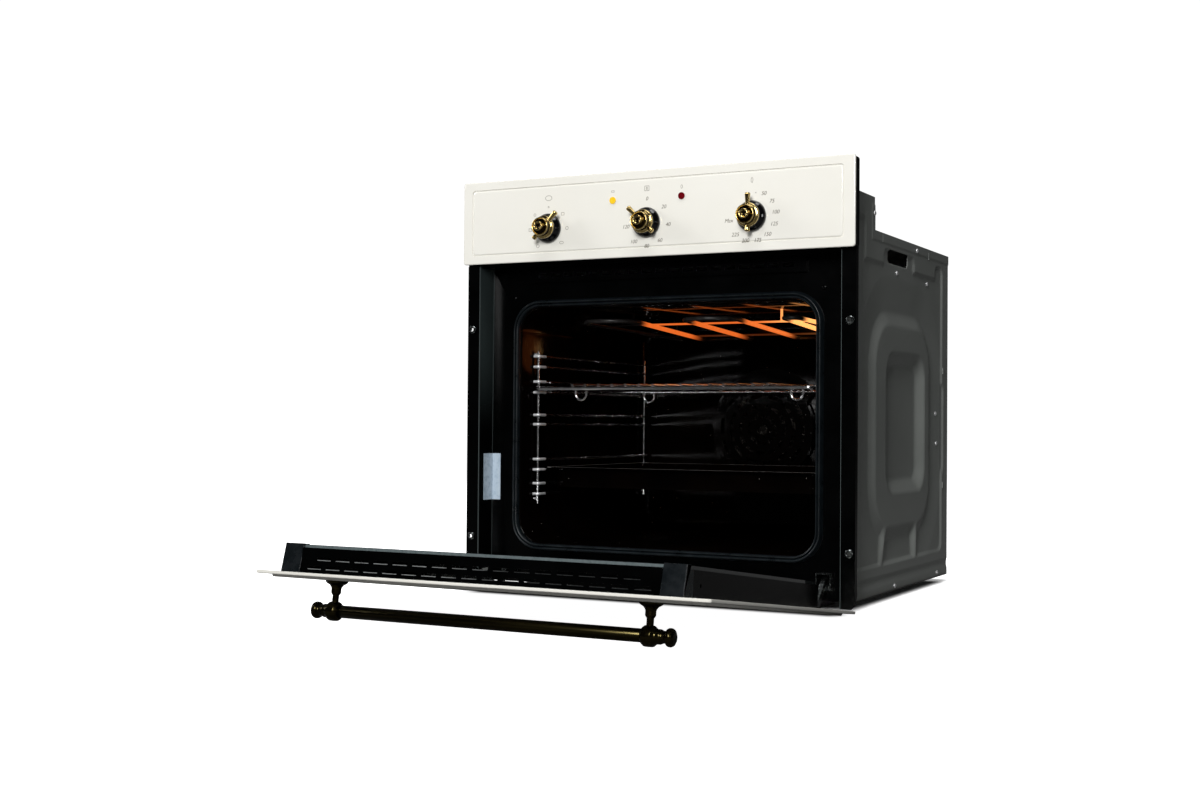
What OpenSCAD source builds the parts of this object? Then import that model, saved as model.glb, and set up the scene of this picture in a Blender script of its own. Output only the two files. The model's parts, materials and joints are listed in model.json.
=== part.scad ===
// Built-in electric oven with a drop-down door, three rotary controls and a fan.
// Millimetres, +Z up. X runs across the front, +Y runs into the cabinet.
// The origin is the middle of the resting face under the case.

/* [Front] */
// Width of the control panel and of the door.
overall_width = 595; // [590:1:600]
// Height of the control panel.
panel_height = 119.5; // [114:0.5:126]
// Distance from the closed door's upper edge to the top of the main case.
door_drop = 40.5; // [38:0.5:44]
// Height of the closed door's lower edge above the cabinet shelf.
door_bottom = 5; // [4.5:0.5:7]
// Gap between the closed door and the control panel.
panel_gap = 2.5; // [2:0.5:5]
// Depth from the panel face to the fixing flanges of the front frame.
flange_depth = 11; // [10.5:0.5:13]
// Depth of the recess that takes the door body, from the flanges.
recess_depth = 39; // [37:0.5:42]

/* [Case] */
// Width over the side panels.
case_width = 556; // [552:1:558]
// Length of the side panels from front to back.
case_length = 494; // [486:2:510]
// Height of the lower edge of the case above the cabinet shelf.
foot_height = 11; // [8:0.5:12]
// Height of the main part of the case.
case_height = 500.5; // [494:0.5:510]
// Extra height of the housing behind the control panel.
housing_rise = 45; // [38:1:60]
// Length of that housing from front to back.
housing_length = 122; // [110:1:140]
// Sheet thickness of the case and of the front frame.
sheet = 1.2; // [0.8:0.1:1.5]
// Depth of the pressed shapes in the side panels.
emboss = 4; // [2:0.5:5]

/* [Cavity] */
// Inside width of the oven cavity.
cavity_width = 456; // [448:1:458]
// Height above the cavity for the wool, the duct and the blower.
head_room = 99.5; // [97:0.5:106]
// Depth behind the cavity for the wool and the fan motor.
rear_room = 56.6; // [52:0.2:66]
// Height of the cavity floor above the cabinet shelf.
cavity_floor = 70; // [68:0.5:74]
// Radius of the cavity's long edges.
cavity_corner = 34; // [26:1:40]
// Thickness of the mineral wool.
wool = 22; // [16:1:24]
// Width of the door gasket.
gasket_width = 10; // [8:0.5:11]
// Height of the door gasket in front of the frame.
gasket_height = 9; // [7:0.5:10]

/* [Door] */
// Opening angle of the door on its stop.
door_open = 82.5; // [0:0.5:82.5]
// Thickness of the outer skin.
skin = 1; // [0.8:0.1:1.2]
// Width of the flat border round the raised field of the skin.
skin_border = 13; // [11:0.5:16]
// Width of the window in the skin.
window_width = 410; // [380:1:430]
// Height of the window in the skin.
window_height = 236; // [210:1:250]
// Thickness of the glass panes.
pane = 4; // [3:0.5:4]
// Distance from the side of the case to the door body.
body_inset = 14; // [12:0.5:16]
// Distance between the two handle posts.
post_spacing = 418; // [400:1:430]
// Distance of the handle from the door's upper edge.
handle_drop = 45; // [41:1:56]
// Distance of the handle axis in front of the panel face.
handle_reach = 36; // [34:0.5:45]
// Diameter of the handle bar.
bar_d = 15; // [12:0.5:17]

/* [Hinges] */
// Distance from the door body's side to the middle of each hinge.
hinge_inset = 22; // [21:0.5:24]
// Diameter of the hinge pin.
pin_d = 4; // [3.5:0.1:4.4]
// Free space all round between pin and bore.
pin_clear = 0.35; // [0.3:0.05:0.5]

/* [Controls] */
// Distance between two knobs.
knob_spacing = 155; // [140:1:165]
// Height of the knobs above the lower edge of the panel.
knob_rise = 46.7; // [44:0.1:55]
// Diameter of the knob skirt.
skirt_d = 41.5; // [38:0.5:44]
// Free space between the knob skirt and the panel.
skirt_gap = 0.8; // [0.5:0.1:1.5]
// Diameter of the switch shafts.
shaft_d = 6; // [5:0.1:6.5]
// Free space all round between a shaft and the holes it passes.
shaft_clear = 1; // [0.6:0.1:1.5]
// Distance of each indicator lamp from the middle.
lamp_x = 52.5; // [45:0.5:60]
// Diameter of the indicator lamp lenses.
lamp_d = 8; // [6:0.5:9]

/* [Inside] */
// Height of the runner that carries the wire shelf.
shelf_level = 289.5; // [280:0.5:296]
// Height of the runner that carries the baking tray.
tray_level = 175; // [170:0.5:180]
// Diameter of the rack's upright wires.
upright_d = 5; // [4:0.5:5.5]
// Diameter of the runners.
runner_d = 4; // [3.5:0.5:4.5]
// Depth of the cavity that the wire shelf leaves free.
shelf_short = 50; // [47:1:65]
// Depth of the cavity that the baking tray leaves free.
tray_short = 85; // [75:1:105]
// Depth of the baking tray.
tray_depth = 28; // [20:1:32]
// Diameter of the heating rods.
rod_d = 6.5; // [6:0.5:8]
// Diameter of the convection fan.
fan_d = 142; // [120:1:150]
// Diameter of the cooling blower wheel.
blower_d = 44; // [38:1:50]

/* [Hidden] */
half_w = overall_width / 2;
case_top = foot_height + case_height;
door_top = case_top - door_drop;
panel_z0 = door_top + panel_gap;
panel_z1 = panel_z0 + panel_height;
handle_height = door_top - handle_drop;
case_y0 = 20;
case_y1 = case_y0 + case_length;
housing_top = case_top + housing_rise;
ring_top = case_top - 113.5;
housing_y1 = case_y0 + housing_length;
case_half = case_width / 2;
case_in = case_half - sheet;
frame_half = half_w - 1.8;
face_y = flange_depth + recess_depth;
cav_y0 = face_y + sheet;
cav_y1 = case_y1 - rear_room;
cavity_depth = cav_y1 - cav_y0 - sheet;
cav_half = cavity_width / 2;
cav_top = case_top - head_room;
cavity_height = cav_top - cavity_floor;
body_half = case_half - body_inset;
hinge_x = body_half - hinge_inset;
shelf_length = cavity_depth - shelf_short;
tray_length = cavity_depth - tray_short;
lamp_height = cav_top - 54;
block_z = case_top - 66.5;
block_x = case_half - 78;
recess_in = case_in - sheet;
shift_y = -(case_y0 + case_length / 2);
pivot_y = 9;
pivot_z = door_bottom + 3;
hinge_z = pivot_z + 29.5;
skin_y = 3;
body_y0 = skin_y + skin;
glass_y1 = face_y - gasket_height - 0.5;
glass_y0 = glass_y1 - pane;
body_top = door_top - 8;
body_low = door_bottom + 53;
knob_z = panel_z0 + knob_rise;
lamp_z = panel_z0 + 80;
fan_z = cavity_floor + 166;
cover_y = cav_y1 - 30;
cover_r = fan_d / 2 + 15;
rack_x = cav_half - 6;
rack_low = cavity_floor + 55;
rack_high = cav_top - 62;
runner_x = cav_half - 10;
shelf_z = shelf_level + runner_d / 2 + 3.3;
tray_z = tray_level + runner_d / 2 + 0.3;
wall_top = panel_z0 - 3.5;
duct_half = 205;
duct_z0 = cav_top + wool + sheet + 0.3;
duct_z1 = wall_top - 0.5;
blower_y = case_y0 + 161;
blower_z = duct_z0 + 31.5;
wheel_r = blower_d / 2;
rack_levels = [rack_low + 14, rack_low + 29.5, tray_level, tray_level + 15.5, shelf_level - 47.5,
    shelf_level - 33.5, shelf_level, shelf_level + 16, rack_high - 22.5, rack_high - 7];

rim_screws = [[case_y0 + 118, housing_top - 22.5], [case_y0 + 230, case_top - 49.5],
    [case_y0 + 219, foot_height + 6], [case_y1 - 57, foot_height + 7],
    [case_y0 + 320, case_top - 8.5]];
field_screws = [[case_y1 - 111, case_top - 52.5], [case_y1 - 57, case_top - 248.5],
    [case_y1 - 53, case_top - 294.5]];

// Helpers. Drawing happens with y counted from the panel face, then moves to the origin.
module place() {
    translate([0, shift_y, 0]) children();
}

module door_pose() {
    place()
    translate([0, pivot_y, pivot_z])
    rotate([door_open, 0, 0])
    translate([0, -pivot_y, -pivot_z]) children();
}

module both() {
    children();
    mirror([1, 0, 0]) children();
}

// Flat rounded rectangle between two corners.
module rrect(x0, x1, z0, z1, r) {
    translate([x0 + r, z0]) square([x1 - x0 - 2 * r, z1 - z0]);
    translate([x0, z0 + r]) square([x1 - x0, z1 - z0 - 2 * r]);
    for (x = [x0 + r, x1 - r])
        for (z = [z0 + r, z1 - r])
            translate([x, z]) circle(r = r, $fn = 48);
}

// Extrudes a drawing in X and Z from depth y0 over a thickness t.
module front_plate(y0, t) {
    translate([0, y0 + t, 0]) rotate([90, 0, 0]) linear_extrude(t) children();
}

// Extrudes a drawing in Y and Z from x0 over a thickness t.
module side_plate(x0, t) {
    translate([x0, 0, 0]) rotate([90, 0, 90]) linear_extrude(t) children();
}

// A cylinder along Y from depth y0 over a length l.
module pin_y(x, z, y0, l, r) {
    translate([x, y0, z]) rotate([-90, 0, 0]) cylinder(r = r, h = l, $fn = 40);
}

// A cylinder along X from x0 over a length l.
module pin_x(y, z, x0, l, r) {
    translate([x0, y, z]) rotate([0, 90, 0]) cylinder(r = r, h = l, $fn = 32);
}

// A cylinder along Z from z0 over a length l.
module pin_z(x, y, z0, l, r) {
    translate([x, y, z0]) cylinder(r = r, h = l, $fn = 32);
}

// A box from one corner to the opposite one.
module block(a, b) {
    translate(a) cube([b[0] - a[0], b[1] - a[1], b[2] - a[2]]);
}

// One enamelled steel fascia with an engraved border.
module control_panel() {
    color([0.93, 0.91, 0.86])
    place()
    difference() {
        front_plate(0, 2.5) rrect(-half_w, half_w, panel_z0, panel_z1, 4);
        front_plate(-0.4, 0.9) difference() {
            rrect(-half_w + 15.2, half_w - 15.2, panel_z0 + 12.3, panel_z1 - 12.3, 5);
            rrect(-half_w + 16.8, half_w - 16.8, panel_z0 + 13.9, panel_z1 - 13.9, 4);
        }
        for (x = [-knob_spacing, 0, knob_spacing])
            pin_y(x, knob_z, -1, 5, shaft_d / 2 + shaft_clear);
        for (x = [-lamp_x, lamp_x])
            pin_y(x, lamp_z, -1, 5, lamp_d / 2 + 0.1);
    }
}

// Black box frame that carries the fascia.
module panel_bracket() {
    color([0.05, 0.05, 0.055])
    place()
    difference() {
        front_plate(2.5, 17.5) rrect(-half_w + 1, half_w - 1, panel_z0 + 1, panel_z1 - 1, 4);
        front_plate(2, 16.5) rrect(-half_w + 2.5, half_w - 2.5, panel_z0 + 2.5, panel_z1 - 2.5, 3);
        for (x = [-knob_spacing, 0, knob_spacing])
            pin_y(x, knob_z, 15, 10, 6);
        for (x = [-lamp_x, lamp_x])
            pin_y(x, lamp_z, 15, 10, 2.5);
        for (x = [72.5 - half_w, half_w - 72.5])
            front_plate(15, 10) rrect(x - 30, x + 30, panel_z0 + 25, panel_z1 - 40, 5);
    }
}

// Pressed front frame with fixing flanges, door recess and the plate behind the controls.
module front_frame() {
    color([0.035, 0.035, 0.04])
    place()
    difference() {
        union() {
            both() difference() {
                union() {
                    front_plate(flange_depth, sheet) polygon([[recess_in, 7], [frame_half - 5, 7],
                        [frame_half, 12], [frame_half, wall_top + 2], [recess_in, wall_top + 2]]);
                    side_plate(frame_half - sheet, sheet) polygon([[flange_depth, 12], [case_y0 - 3, 18],
                        [case_y0, 24], [case_y0, wall_top + 2], [flange_depth, wall_top + 2]]);
                }
                for (z = [79, 380])
                    pin_y(half_w - 10, z, flange_depth - 1, 4, 3.6);
            }
            both() side_plate(recess_in, sheet) polygon([[flange_depth, 7], [face_y - 12, 7],
                [face_y + sheet, foot_height + 2 * sheet], [face_y + sheet, housing_top - sheet],
                [case_y0, housing_top - sheet], [case_y0, wall_top + 2], [flange_depth, wall_top + 2]]);
            front_plate(face_y, sheet) square_xz(-recess_in, recess_in, foot_height + sheet, wall_top);
            block([-recess_in, case_y0, wall_top], [recess_in, face_y + sheet, wall_top + sheet]);
            front_plate(case_y0, sheet) square_xz(-recess_in, recess_in, wall_top, housing_top - sheet);
            block([-recess_in + 6, face_y, foot_height + sheet],
                [recess_in - 6, face_y + 18, foot_height + 2 * sheet]);
        }
        front_plate(face_y - 1, sheet + 2)
            rrect(-cav_half - 2, cav_half + 2, cavity_floor - 2, cav_top + 2, cavity_corner + 2);
        front_plate(face_y - 1, sheet + 2) square_xz(-duct_half + 4, duct_half - 4, duct_z0 + 16, duct_z1 - 2);
        for (x = [-75, 75])
            pin_z(x, case_y0 + 4, wall_top - 1, 4, 1.7);
        both() front_plate(face_y - 1, sheet + 2) square_xz(hinge_x - 10.9, hinge_x + 10.9,
            hinge_z - 11.9, hinge_z + 11.9);
        for (x = [-knob_spacing, 0, knob_spacing])
            pin_y(x, knob_z, case_y0 - 1, 5, 5.3);
    }
}

module square_xz(x0, x1, z0, z1) {
    translate([x0, z0]) square([x1 - x0, z1 - z0]);
}

// Slotted rail where the cooling air leaves above the door.
module air_outlet_grille() {
    color([0.06, 0.06, 0.065])
    place()
    difference() {
        block([-duct_half - 10, face_y - 5, duct_z0 + 13], [duct_half + 10, face_y, wall_top]);
        block([-duct_half + 2, face_y - 5 + sheet, duct_z0 + 14.2],
            [duct_half - 2, face_y + 1, wall_top - sheet]);
        for (i = [-9 : 9])
            front_plate(face_y - 7, 6) square_xz(i * 21 - 8, i * 21 + 8, duct_z0 + 20, duct_z0 + 26);
    }
}

// Ribbed silicone seal round the cavity mouth.
module cavity_gasket() {
    color([0.16, 0.17, 0.18])
    place()
    union() {
        seal_ring(0, gasket_width, face_y - 4, 4);
        seal_ring(1, 3.4, face_y - gasket_height + 1, gasket_height - 1);
        seal_ring(4.6, 3, face_y - gasket_height, gasket_height);
    }
}

module seal_ring(inset, w, y0, t) {
    a = cav_half + 1 + inset;
    z0 = cavity_floor - 1 - inset;
    z1 = cav_top + 1 + inset;
    front_plate(y0, t) difference() {
        rrect(-a - w, a + w, z0 - w, z1 + w, cavity_corner + inset + w);
        rrect(-a, a, z0, z1, cavity_corner + inset);
    }
}

// Enamelled cavity with its front flange.
module cavity() {
    color([0.06, 0.055, 0.05])
    place()
    difference() {
        union() {
            front_plate(cav_y0, sheet) rrect(-cav_half - 18, cav_half + 18,
                cavity_floor - 14, cav_top + 14, cavity_corner + 14);
            front_plate(cav_y0, sheet + cavity_depth + sheet) rrect(-cav_half - sheet, cav_half + sheet,
                cavity_floor - sheet, cav_top + sheet, cavity_corner + sheet);
        }
        front_plate(cav_y0 - 1, 1 + sheet + cavity_depth)
            rrect(-cav_half, cav_half, cavity_floor, cav_top, cavity_corner);
        pin_y(0, fan_z, cav_y1 - 1, 4, 7);
        pin_y(158, lamp_height, cav_y1 - 1, 4, 23);
        for (x = [-160, 172])
            pin_y(x, cav_top - 26, cav_y1 - 1, 4, rod_d / 2 + 0.3);
        pin_z(knob_spacing + 14, case_y0 + 215, cav_top - 2, 6, 1.8);
    }
}

// Folded side panel. The field and the ring are pressed in by steps.
module side_panel() {
    difference() {
        union() {
            side_plate(case_in, sheet) difference() {
                side_outline();
                side_field();
                side_foot_field();
            }
            side_plate(case_in - emboss, emboss + sheet) difference() {
                side_field();
                side_field_inner();
            }
            side_plate(case_in - emboss, sheet) difference() {
                side_field();
                rrect(case_y0 + 102, case_y1 - 84, 124, ring_top, 58);
            }
            side_plate(case_in - emboss, emboss + sheet) difference() {
                rrect(case_y0 + 102, case_y1 - 84, 124, ring_top, 58);
                rrect(case_y0 + 102 + sheet, case_y1 - 84 - sheet, 124 + sheet, ring_top - sheet, 58 - sheet);
            }
            side_plate(case_in, sheet) difference() {
                rrect(case_y0 + 102, case_y1 - 84, 124, ring_top, 58);
                rrect(case_y0 + 181, case_y1 - 146, 158, ring_top - 58, 44);
            }
            side_plate(case_in - emboss, emboss + sheet) difference() {
                rrect(case_y0 + 181 - sheet, case_y1 - 146 + sheet, 158 - sheet, ring_top - 58 + sheet,
                    44 + sheet);
                rrect(case_y0 + 181, case_y1 - 146, 158, ring_top - 58, 44);
            }
            side_plate(case_in - emboss, sheet) rrect(case_y0 + 181 - sheet, case_y1 - 146 + sheet,
                158 - sheet, ring_top - 58 + sheet, 44 + sheet);
            side_plate(case_in - emboss, sheet) side_foot_field();
            side_plate(case_in - emboss, emboss + sheet) difference() {
                side_foot_field();
                side_foot_inner();
            }
            block([case_in - 12, case_y0 + 40, foot_height], [case_half, case_y1, foot_height + sheet]);
        }
        side_plate(case_in - 20, 30) rrect(case_y0 + 186, case_y0 + 283,
            case_top - 38.5, case_top - 19.5, 9);
        for (p = concat(rim_screws, field_screws))
            pin_x(p[0], p[1], case_in - 8, 12, 1.7);
    }
}

module side_outline() {
    polygon([[case_y0, foot_height], [case_y1, foot_height], [case_y1, case_top],
        [housing_y1, case_top], [housing_y1, housing_top], [case_y0, housing_top]]);
}

module side_field() {
    polygon([[case_y0 + 32, 52], [case_y0 + 143, 52], [case_y0 + 150, 46], [case_y0 + 160, 46],
        [case_y0 + 160, 108], [case_y0 + 316, 108], [case_y0 + 316, 46], [case_y0 + 324, 50],
        [case_y0 + 336, 56], [case_y1 - 52, 56], [case_y1 - 36, 72], [case_y1 - 36, 160],
        [case_y1 - 25, 172], [case_y1 - 25, case_top - 205.5], [case_y1 - 36, case_top - 193.5],
        [case_y1 - 36, case_top - 59.5], [case_y1 - 50, case_top - 45.5],
        [case_y0 + 312, case_top - 45.5], [case_y0 + 300, case_top - 53.5],
        [case_y0 + 170, case_top - 53.5], [case_y0 + 158, case_top - 41.5],
        [case_y0 + 100, case_top - 41.5], [case_y0 + 84, case_top - 27.5],
        [case_y0 + 60, case_top - 27.5], [case_y0 + 32, case_top - 55.5]]);
}

module side_field_inner() {
    polygon([[case_y0 + 33.2, 53.2], [case_y0 + 143.4, 53.2], [case_y0 + 150.4, 47.2],
        [case_y0 + 158.8, 47.2], [case_y0 + 158.8, 109.2], [case_y0 + 317.2, 109.2],
        [case_y0 + 317.2, 47.8], [case_y0 + 323.6, 51.2], [case_y0 + 335.7, 57.2],
        [case_y1 - 52.5, 57.2], [case_y1 - 37.2, 72.5], [case_y1 - 37.2, 160.5],
        [case_y1 - 26.2, 172.5], [case_y1 - 26.2, case_top - 206], [case_y1 - 37.2, case_top - 194],
        [case_y1 - 37.2, case_top - 60], [case_y1 - 50.5, case_top - 46.7],
        [case_y0 + 312.4, case_top - 46.7], [case_y0 + 300.4, case_top - 54.7],
        [case_y0 + 169.5, case_top - 54.7], [case_y0 + 157.5, case_top - 42.7],
        [case_y0 + 99.5, case_top - 42.7], [case_y0 + 83.5, case_top - 28.7],
        [case_y0 + 60.5, case_top - 28.7], [case_y0 + 33.2, case_top - 56]]);
}

module side_foot_field() {
    polygon([[case_y0 + 178, 106], [case_y0 + 300, 106], [case_y0 + 306, 54], [case_y0 + 146, 54]]);
}

module side_foot_inner() {
    polygon([[case_y0 + 179, 104.8], [case_y0 + 298.8, 104.8], [case_y0 + 304.6, 55.2],
        [case_y0 + 148, 55.2]]);
}

module side_panel_left() {
    color([0.27, 0.28, 0.27])
    place() mirror([1, 0, 0]) side_panel();
}

module side_panel_right() {
    color([0.27, 0.28, 0.27])
    place() side_panel();
}

// Base pan with three pressed runners that stand on the cabinet shelf.
module base_pan() {
    color([0.5, 0.51, 0.5])
    place()
    difference() {
        union() {
            block([-case_in, case_y0 + 40, foot_height], [case_in, case_y1 - sheet, foot_height + sheet]);
            for (x = [-187, 0, 187])
                block([x - 38, case_y0 + 46, 0], [x + 38, case_y1 - 30, foot_height + sheet]);
        }
        for (x = [-187, 0, 187])
            block([x - 38 + sheet, case_y0 + 46 + sheet, sheet],
                [x + 38 - sheet, case_y1 - 30 - sheet, foot_height + sheet + 1]);
        both() block([case_in - 12.4, case_y0 + 30, foot_height - 1], [case_in + 1, case_y1, foot_height + 5]);
        for (y = [case_y0 + 120, case_y0 + 250, case_y0 + 380])
            for (i = [0 : 3])
                both() block([48 + i * 26, y, foot_height - 1], [62 + i * 26, y + 6, foot_height + 5]);
    }
}

// Main top sheet.
module top_cover() {
    color([0.5, 0.51, 0.5])
    place()
    difference() {
        union() {
            block([-case_in, housing_y1 - sheet, case_top - sheet], [case_in, case_y1, case_top]);
            both() block([case_in - sheet, housing_y1, case_top - 14], [case_in, case_y1 - sheet, case_top]);
        }
        for (i = [-6 : 6])
            block([i * 30 - 10, case_y1 - 60, case_top - 5], [i * 30 + 10, case_y1 - 55, case_top + 5]);
        both() pin_x(case_y0 + 320, case_top - 8.5, case_in - 8, 12, 1.7);
    }
}

// Raised cover over the switches behind the control panel.
module control_housing_cover() {
    color([0.5, 0.51, 0.5])
    place()
    difference() {
        union() {
            block([-case_in, case_y0, housing_top - sheet], [case_in, housing_y1, housing_top]);
            block([-case_in, housing_y1 - sheet, case_top], [case_in, housing_y1, housing_top]);
        }
        for (i = [-8 : 8])
            block([i * 24 - 7, housing_y1 - 5, case_top + 14], [i * 24 + 7, housing_y1 + 5, case_top + 20]);
    }
}

// Rear sheet with openings for the motor and for the cable.
module rear_cover() {
    color([0.52, 0.53, 0.52])
    place()
    difference() {
        block([-case_in, case_y1 - sheet, foot_height + sheet], [case_in, case_y1, case_top - sheet]);
        front_plate(case_y1 - 3, 6) rrect(-88, 88, fan_z - 88, fan_z + 88, 30);
        front_plate(case_y1 - 3, 6) rrect(-block_x - 41, -block_x + 41,
            block_z - 21, block_z + 21, 4);
        for (i = [0 : 5])
            front_plate(case_y1 - 3, 6) square_xz(140, 230, 60 + i * 12, 65 + i * 12);
        for (i = [0 : 5])
            front_plate(case_y1 - 3, 6) square_xz(-230, -140, 60 + i * 12, 65 + i * 12);
    }
}

// Louvred dome over the fan motor.
module rear_motor_cover() {
    color([0.56, 0.57, 0.56])
    place()
    difference() {
        union() {
            front_plate(case_y1, sheet) rrect(-105, 105, fan_z - 105, fan_z + 105, 12);
            front_plate(case_y1, 30) rrect(-84, 84, fan_z - 84, fan_z + 84, 26);
        }
        front_plate(case_y1 - 1, 31 - sheet) rrect(-84 + sheet, 84 - sheet,
            fan_z - 84 + sheet, fan_z + 84 - sheet, 25);
        for (i = [-4 : 4])
            front_plate(case_y1 + 25, 10) square_xz(-50, 50, fan_z + i * 14 - 2.5, fan_z + i * 14 + 2.5);
    }
}

// Mineral wool wrapped round the cavity.
module insulation() {
    color([0.78, 0.74, 0.62])
    place()
    difference() {
        front_plate(cav_y0 + sheet, cavity_depth + sheet + wool) rrect(-cav_half - wool - sheet,
            cav_half + wool + sheet, cavity_floor - wool - sheet, cav_top + wool + sheet, cavity_corner + wool);
        front_plate(cav_y0, sheet + cavity_depth + sheet) rrect(-cav_half - sheet,
            cav_half + sheet, cavity_floor - sheet, cav_top + sheet, cavity_corner + sheet);
        block([-cav_half + 20, cav_y0 + 20, cavity_floor - sheet - 9.5],
            [cav_half - 20, cav_y1 + wool + 9, cavity_floor - sheet + 1]);
        pin_y(0, fan_z, cav_y1 - 5, wool + 20, 62);
        pin_z(knob_spacing + 14, case_y0 + 215, cav_top - 5, wool + 20, 2.2);
        pin_y(158, lamp_height, cav_y1 - 5, wool + 20, 30);
        for (x = [-160, 172])
            pin_y(x, cav_top - 26, cav_y1 - 5, wool + 20, 9);
    }
}

// A rod along Y between two depths, and a half ring that joins two rods.
module rod(x, z, ya, yb) {
    pin_y(x, z, ya, yb - ya, rod_d / 2);
}

module bend(x0, x1, z, y, s) {
    translate([(x0 + x1) / 2, y, z]) rotate([0, 0, s > 0 ? 0 : 180])
    rotate_extrude(angle = 180, $fn = 64) translate([(x1 - x0) / 2, 0]) circle(r = rod_d / 2, $fn = 20);
}

// Serpentine upper heating element under the cavity roof.
module grill_element() {
    z = cav_top - 26;
    color([0.75, 0.3, 0.1])
    place()
    union() {
        rod(-160, z, cav_y0 + 84, cav_y1 + 30);
        rod(-80, z, cav_y0 + 84, cav_y1 - 84);
        rod(0, z, cav_y0 + 84, cav_y1 - 84);
        rod(80, z, cav_y0 + 84, cav_y1 - 84);
        rod(150, z, cav_y0 + 84, cav_y1 - 84);
        rod(172, z, cav_y0 + 84, cav_y1 + 30);
        bend(-160, -80, z, cav_y0 + 84, -1);
        bend(-80, 0, z, cav_y1 - 84, 1);
        bend(0, 80, z, cav_y0 + 84, -1);
        bend(80, 150, z, cav_y1 - 84, 1);
        bend(150, 172, z, cav_y0 + 84, -1);
        for (x = [-160, 172])
            pin_y(x, z, cav_y1 + sheet, 3, 6);
        for (y = [cav_y0 + 150, cav_y1 - 100]) {
            pin_x(y, z + rod_d / 2 + 0.8, -168, 348, 1.4);
            for (x = [-120, 120])
                pin_z(x, y, z + rod_d / 2, cav_top - z - rod_d / 2, 1.8);
        }
    }
}

// Loop-shaped lower heating element in the channel under the cavity floor.
module bake_element() {
    z = cavity_floor - sheet - rod_d / 2;
    color([0.35, 0.32, 0.3])
    place()
    union() {
        rod(-150, z, cav_y0 + 190, cav_y1 + 30);
        rod(150, z, cav_y0 + 190, cav_y1 + 30);
        bend(-150, 150, z, cav_y0 + 190, -1);
        for (x = [-150, 150])
            pin_y(x, z, cav_y1 + 31, 4, 2);
        for (x = [-150, 150])
            pin_y(x, z, cav_y1 + 30, 1, 4.5);
    }
}

// Guard in front of the convection fan, with arc slots in its face and windows in its skirt.
module fan_cover() {
    color([0.1, 0.095, 0.09])
    place()
    difference() {
        union() {
            pin_y(0, fan_z, cav_y1 - 1, 1, cover_r + 14);
            pin_y(0, fan_z, cover_y, cav_y1 - cover_y, cover_r);
        }
        pin_y(0, fan_z, cover_y + sheet, cav_y1 - cover_y, cover_r - sheet);
        pin_y(0, fan_z, cover_y - 5, 10, 9);
        for (i = [0 : 3])
            for (a = [0 : 30 : 330])
                fan_slot(a + 15 * (i % 2), 22 + 16 * i);
        for (a = [22.5 : 45 : 337.5])
            translate([0, cav_y1 - 20, fan_z]) rotate([0, a, 0])
                translate([cover_r - 6, 0, -9]) cube([12, 12, 18]);
    }
}

module fan_slot(a, r) {
    translate([0, cover_y + 4, fan_z]) rotate([90, 0, 0]) rotate([0, 0, a])
        rotate_extrude(angle = 21, $fn = 96) translate([r - 3, 0]) square([6, 8]);
}

// Shaded-pole motor behind the cavity.
module fan_motor() {
    color([0.6, 0.6, 0.62])
    place()
    difference() {
        union() {
            front_plate(cav_y1 + sheet, 2) rrect(-52, 52, fan_z - 32, fan_z + 32, 8);
            for (x = [-40, 40])
                pin_y(x, fan_z, cav_y1 + sheet + 2, 24, 4);
            front_plate(cav_y1 + sheet + 26, 26) rrect(-46, 46, fan_z - 28, fan_z + 34, 4);
            pin_y(0, fan_z, cav_y1 + sheet + 18, 50, 15);
        }
        pin_y(0, fan_z, cav_y1 - 2, 60, shaft_d / 2 + 0.4);
    }
}

// Sheet duct that leads the cooling air from the blower to the outlet above the door.
module cooling_duct() {
    t = sheet;
    r = wheel_r + 8;
    color([0.6, 0.61, 0.6])
    place()
    difference() {
        union() {
            block([-duct_half, cav_y0, duct_z0], [duct_half, blower_y, duct_z1]);
            block([-duct_half, blower_y - r, duct_z0], [duct_half, blower_y + r, case_top - 13]);
        }
        block([-duct_half + t, cav_y0 - 1, duct_z0 + t], [duct_half - t, blower_y, duct_z1 - t]);
        block([-duct_half + t, blower_y - r + t, duct_z0 + t],
            [duct_half - t, blower_y + r - t, case_top - 13 - t]);
        block([-150, blower_y - 16, case_top - 20], [150, blower_y + 18, case_top + 1]);
        pin_x(blower_y, blower_z, duct_half - 2, 4, 10);
        pin_x(blower_y, blower_z, -duct_half - 2, 4, 2.9);
    }
}

// Motor of the cooling blower, on the end of the duct.
module blower_motor() {
    x = duct_half;
    color([0.55, 0.55, 0.57])
    place()
    difference() {
        union() {
            pin_x(blower_y, blower_z, x, 2, 20);
            block([x + 2, blower_y - 21, blower_z - 21], [x + 30, blower_y + 21, blower_z + 21]);
            pin_x(blower_y, blower_z, x + 2, 34, 13);
        }
        pin_x(blower_y, blower_z, x - 5, 30, 2.9);
    }
}

// Tangential drum of the cooling blower with its shaft.
module blower_wheel() {
    x = duct_half - 15;
    color([0.5, 0.51, 0.52])
    place()
    union() {
        for (i = [-2 : 2])
            pin_x(blower_y, blower_z, i * x / 2 - 1, 2, wheel_r);
        pin_x(blower_y, blower_z, -duct_half - 1, 2 * duct_half + 18, 2.5);
        for (a = [0 : 15 : 345])
            translate([-x, blower_y, blower_z]) rotate([a, 0, 0]) translate([0, wheel_r - 6, -0.5])
                cube([2 * x, 5, 1]);
    }
}

// Ceramic socket of the oven lamp.
module lamp_holder() {
    z = lamp_height;
    color([0.88, 0.86, 0.8])
    place()
    difference() {
        union() {
            pin_y(158, z, cav_y1 + sheet, 2, 25);
            pin_y(158, z, cav_y1 + sheet, 30, 21);
        }
        pin_y(158, z, cav_y1 - 1, 28, 17.8);
        pin_y(158, z, cav_y1 - 1, 40, 3);
    }
}

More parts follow.
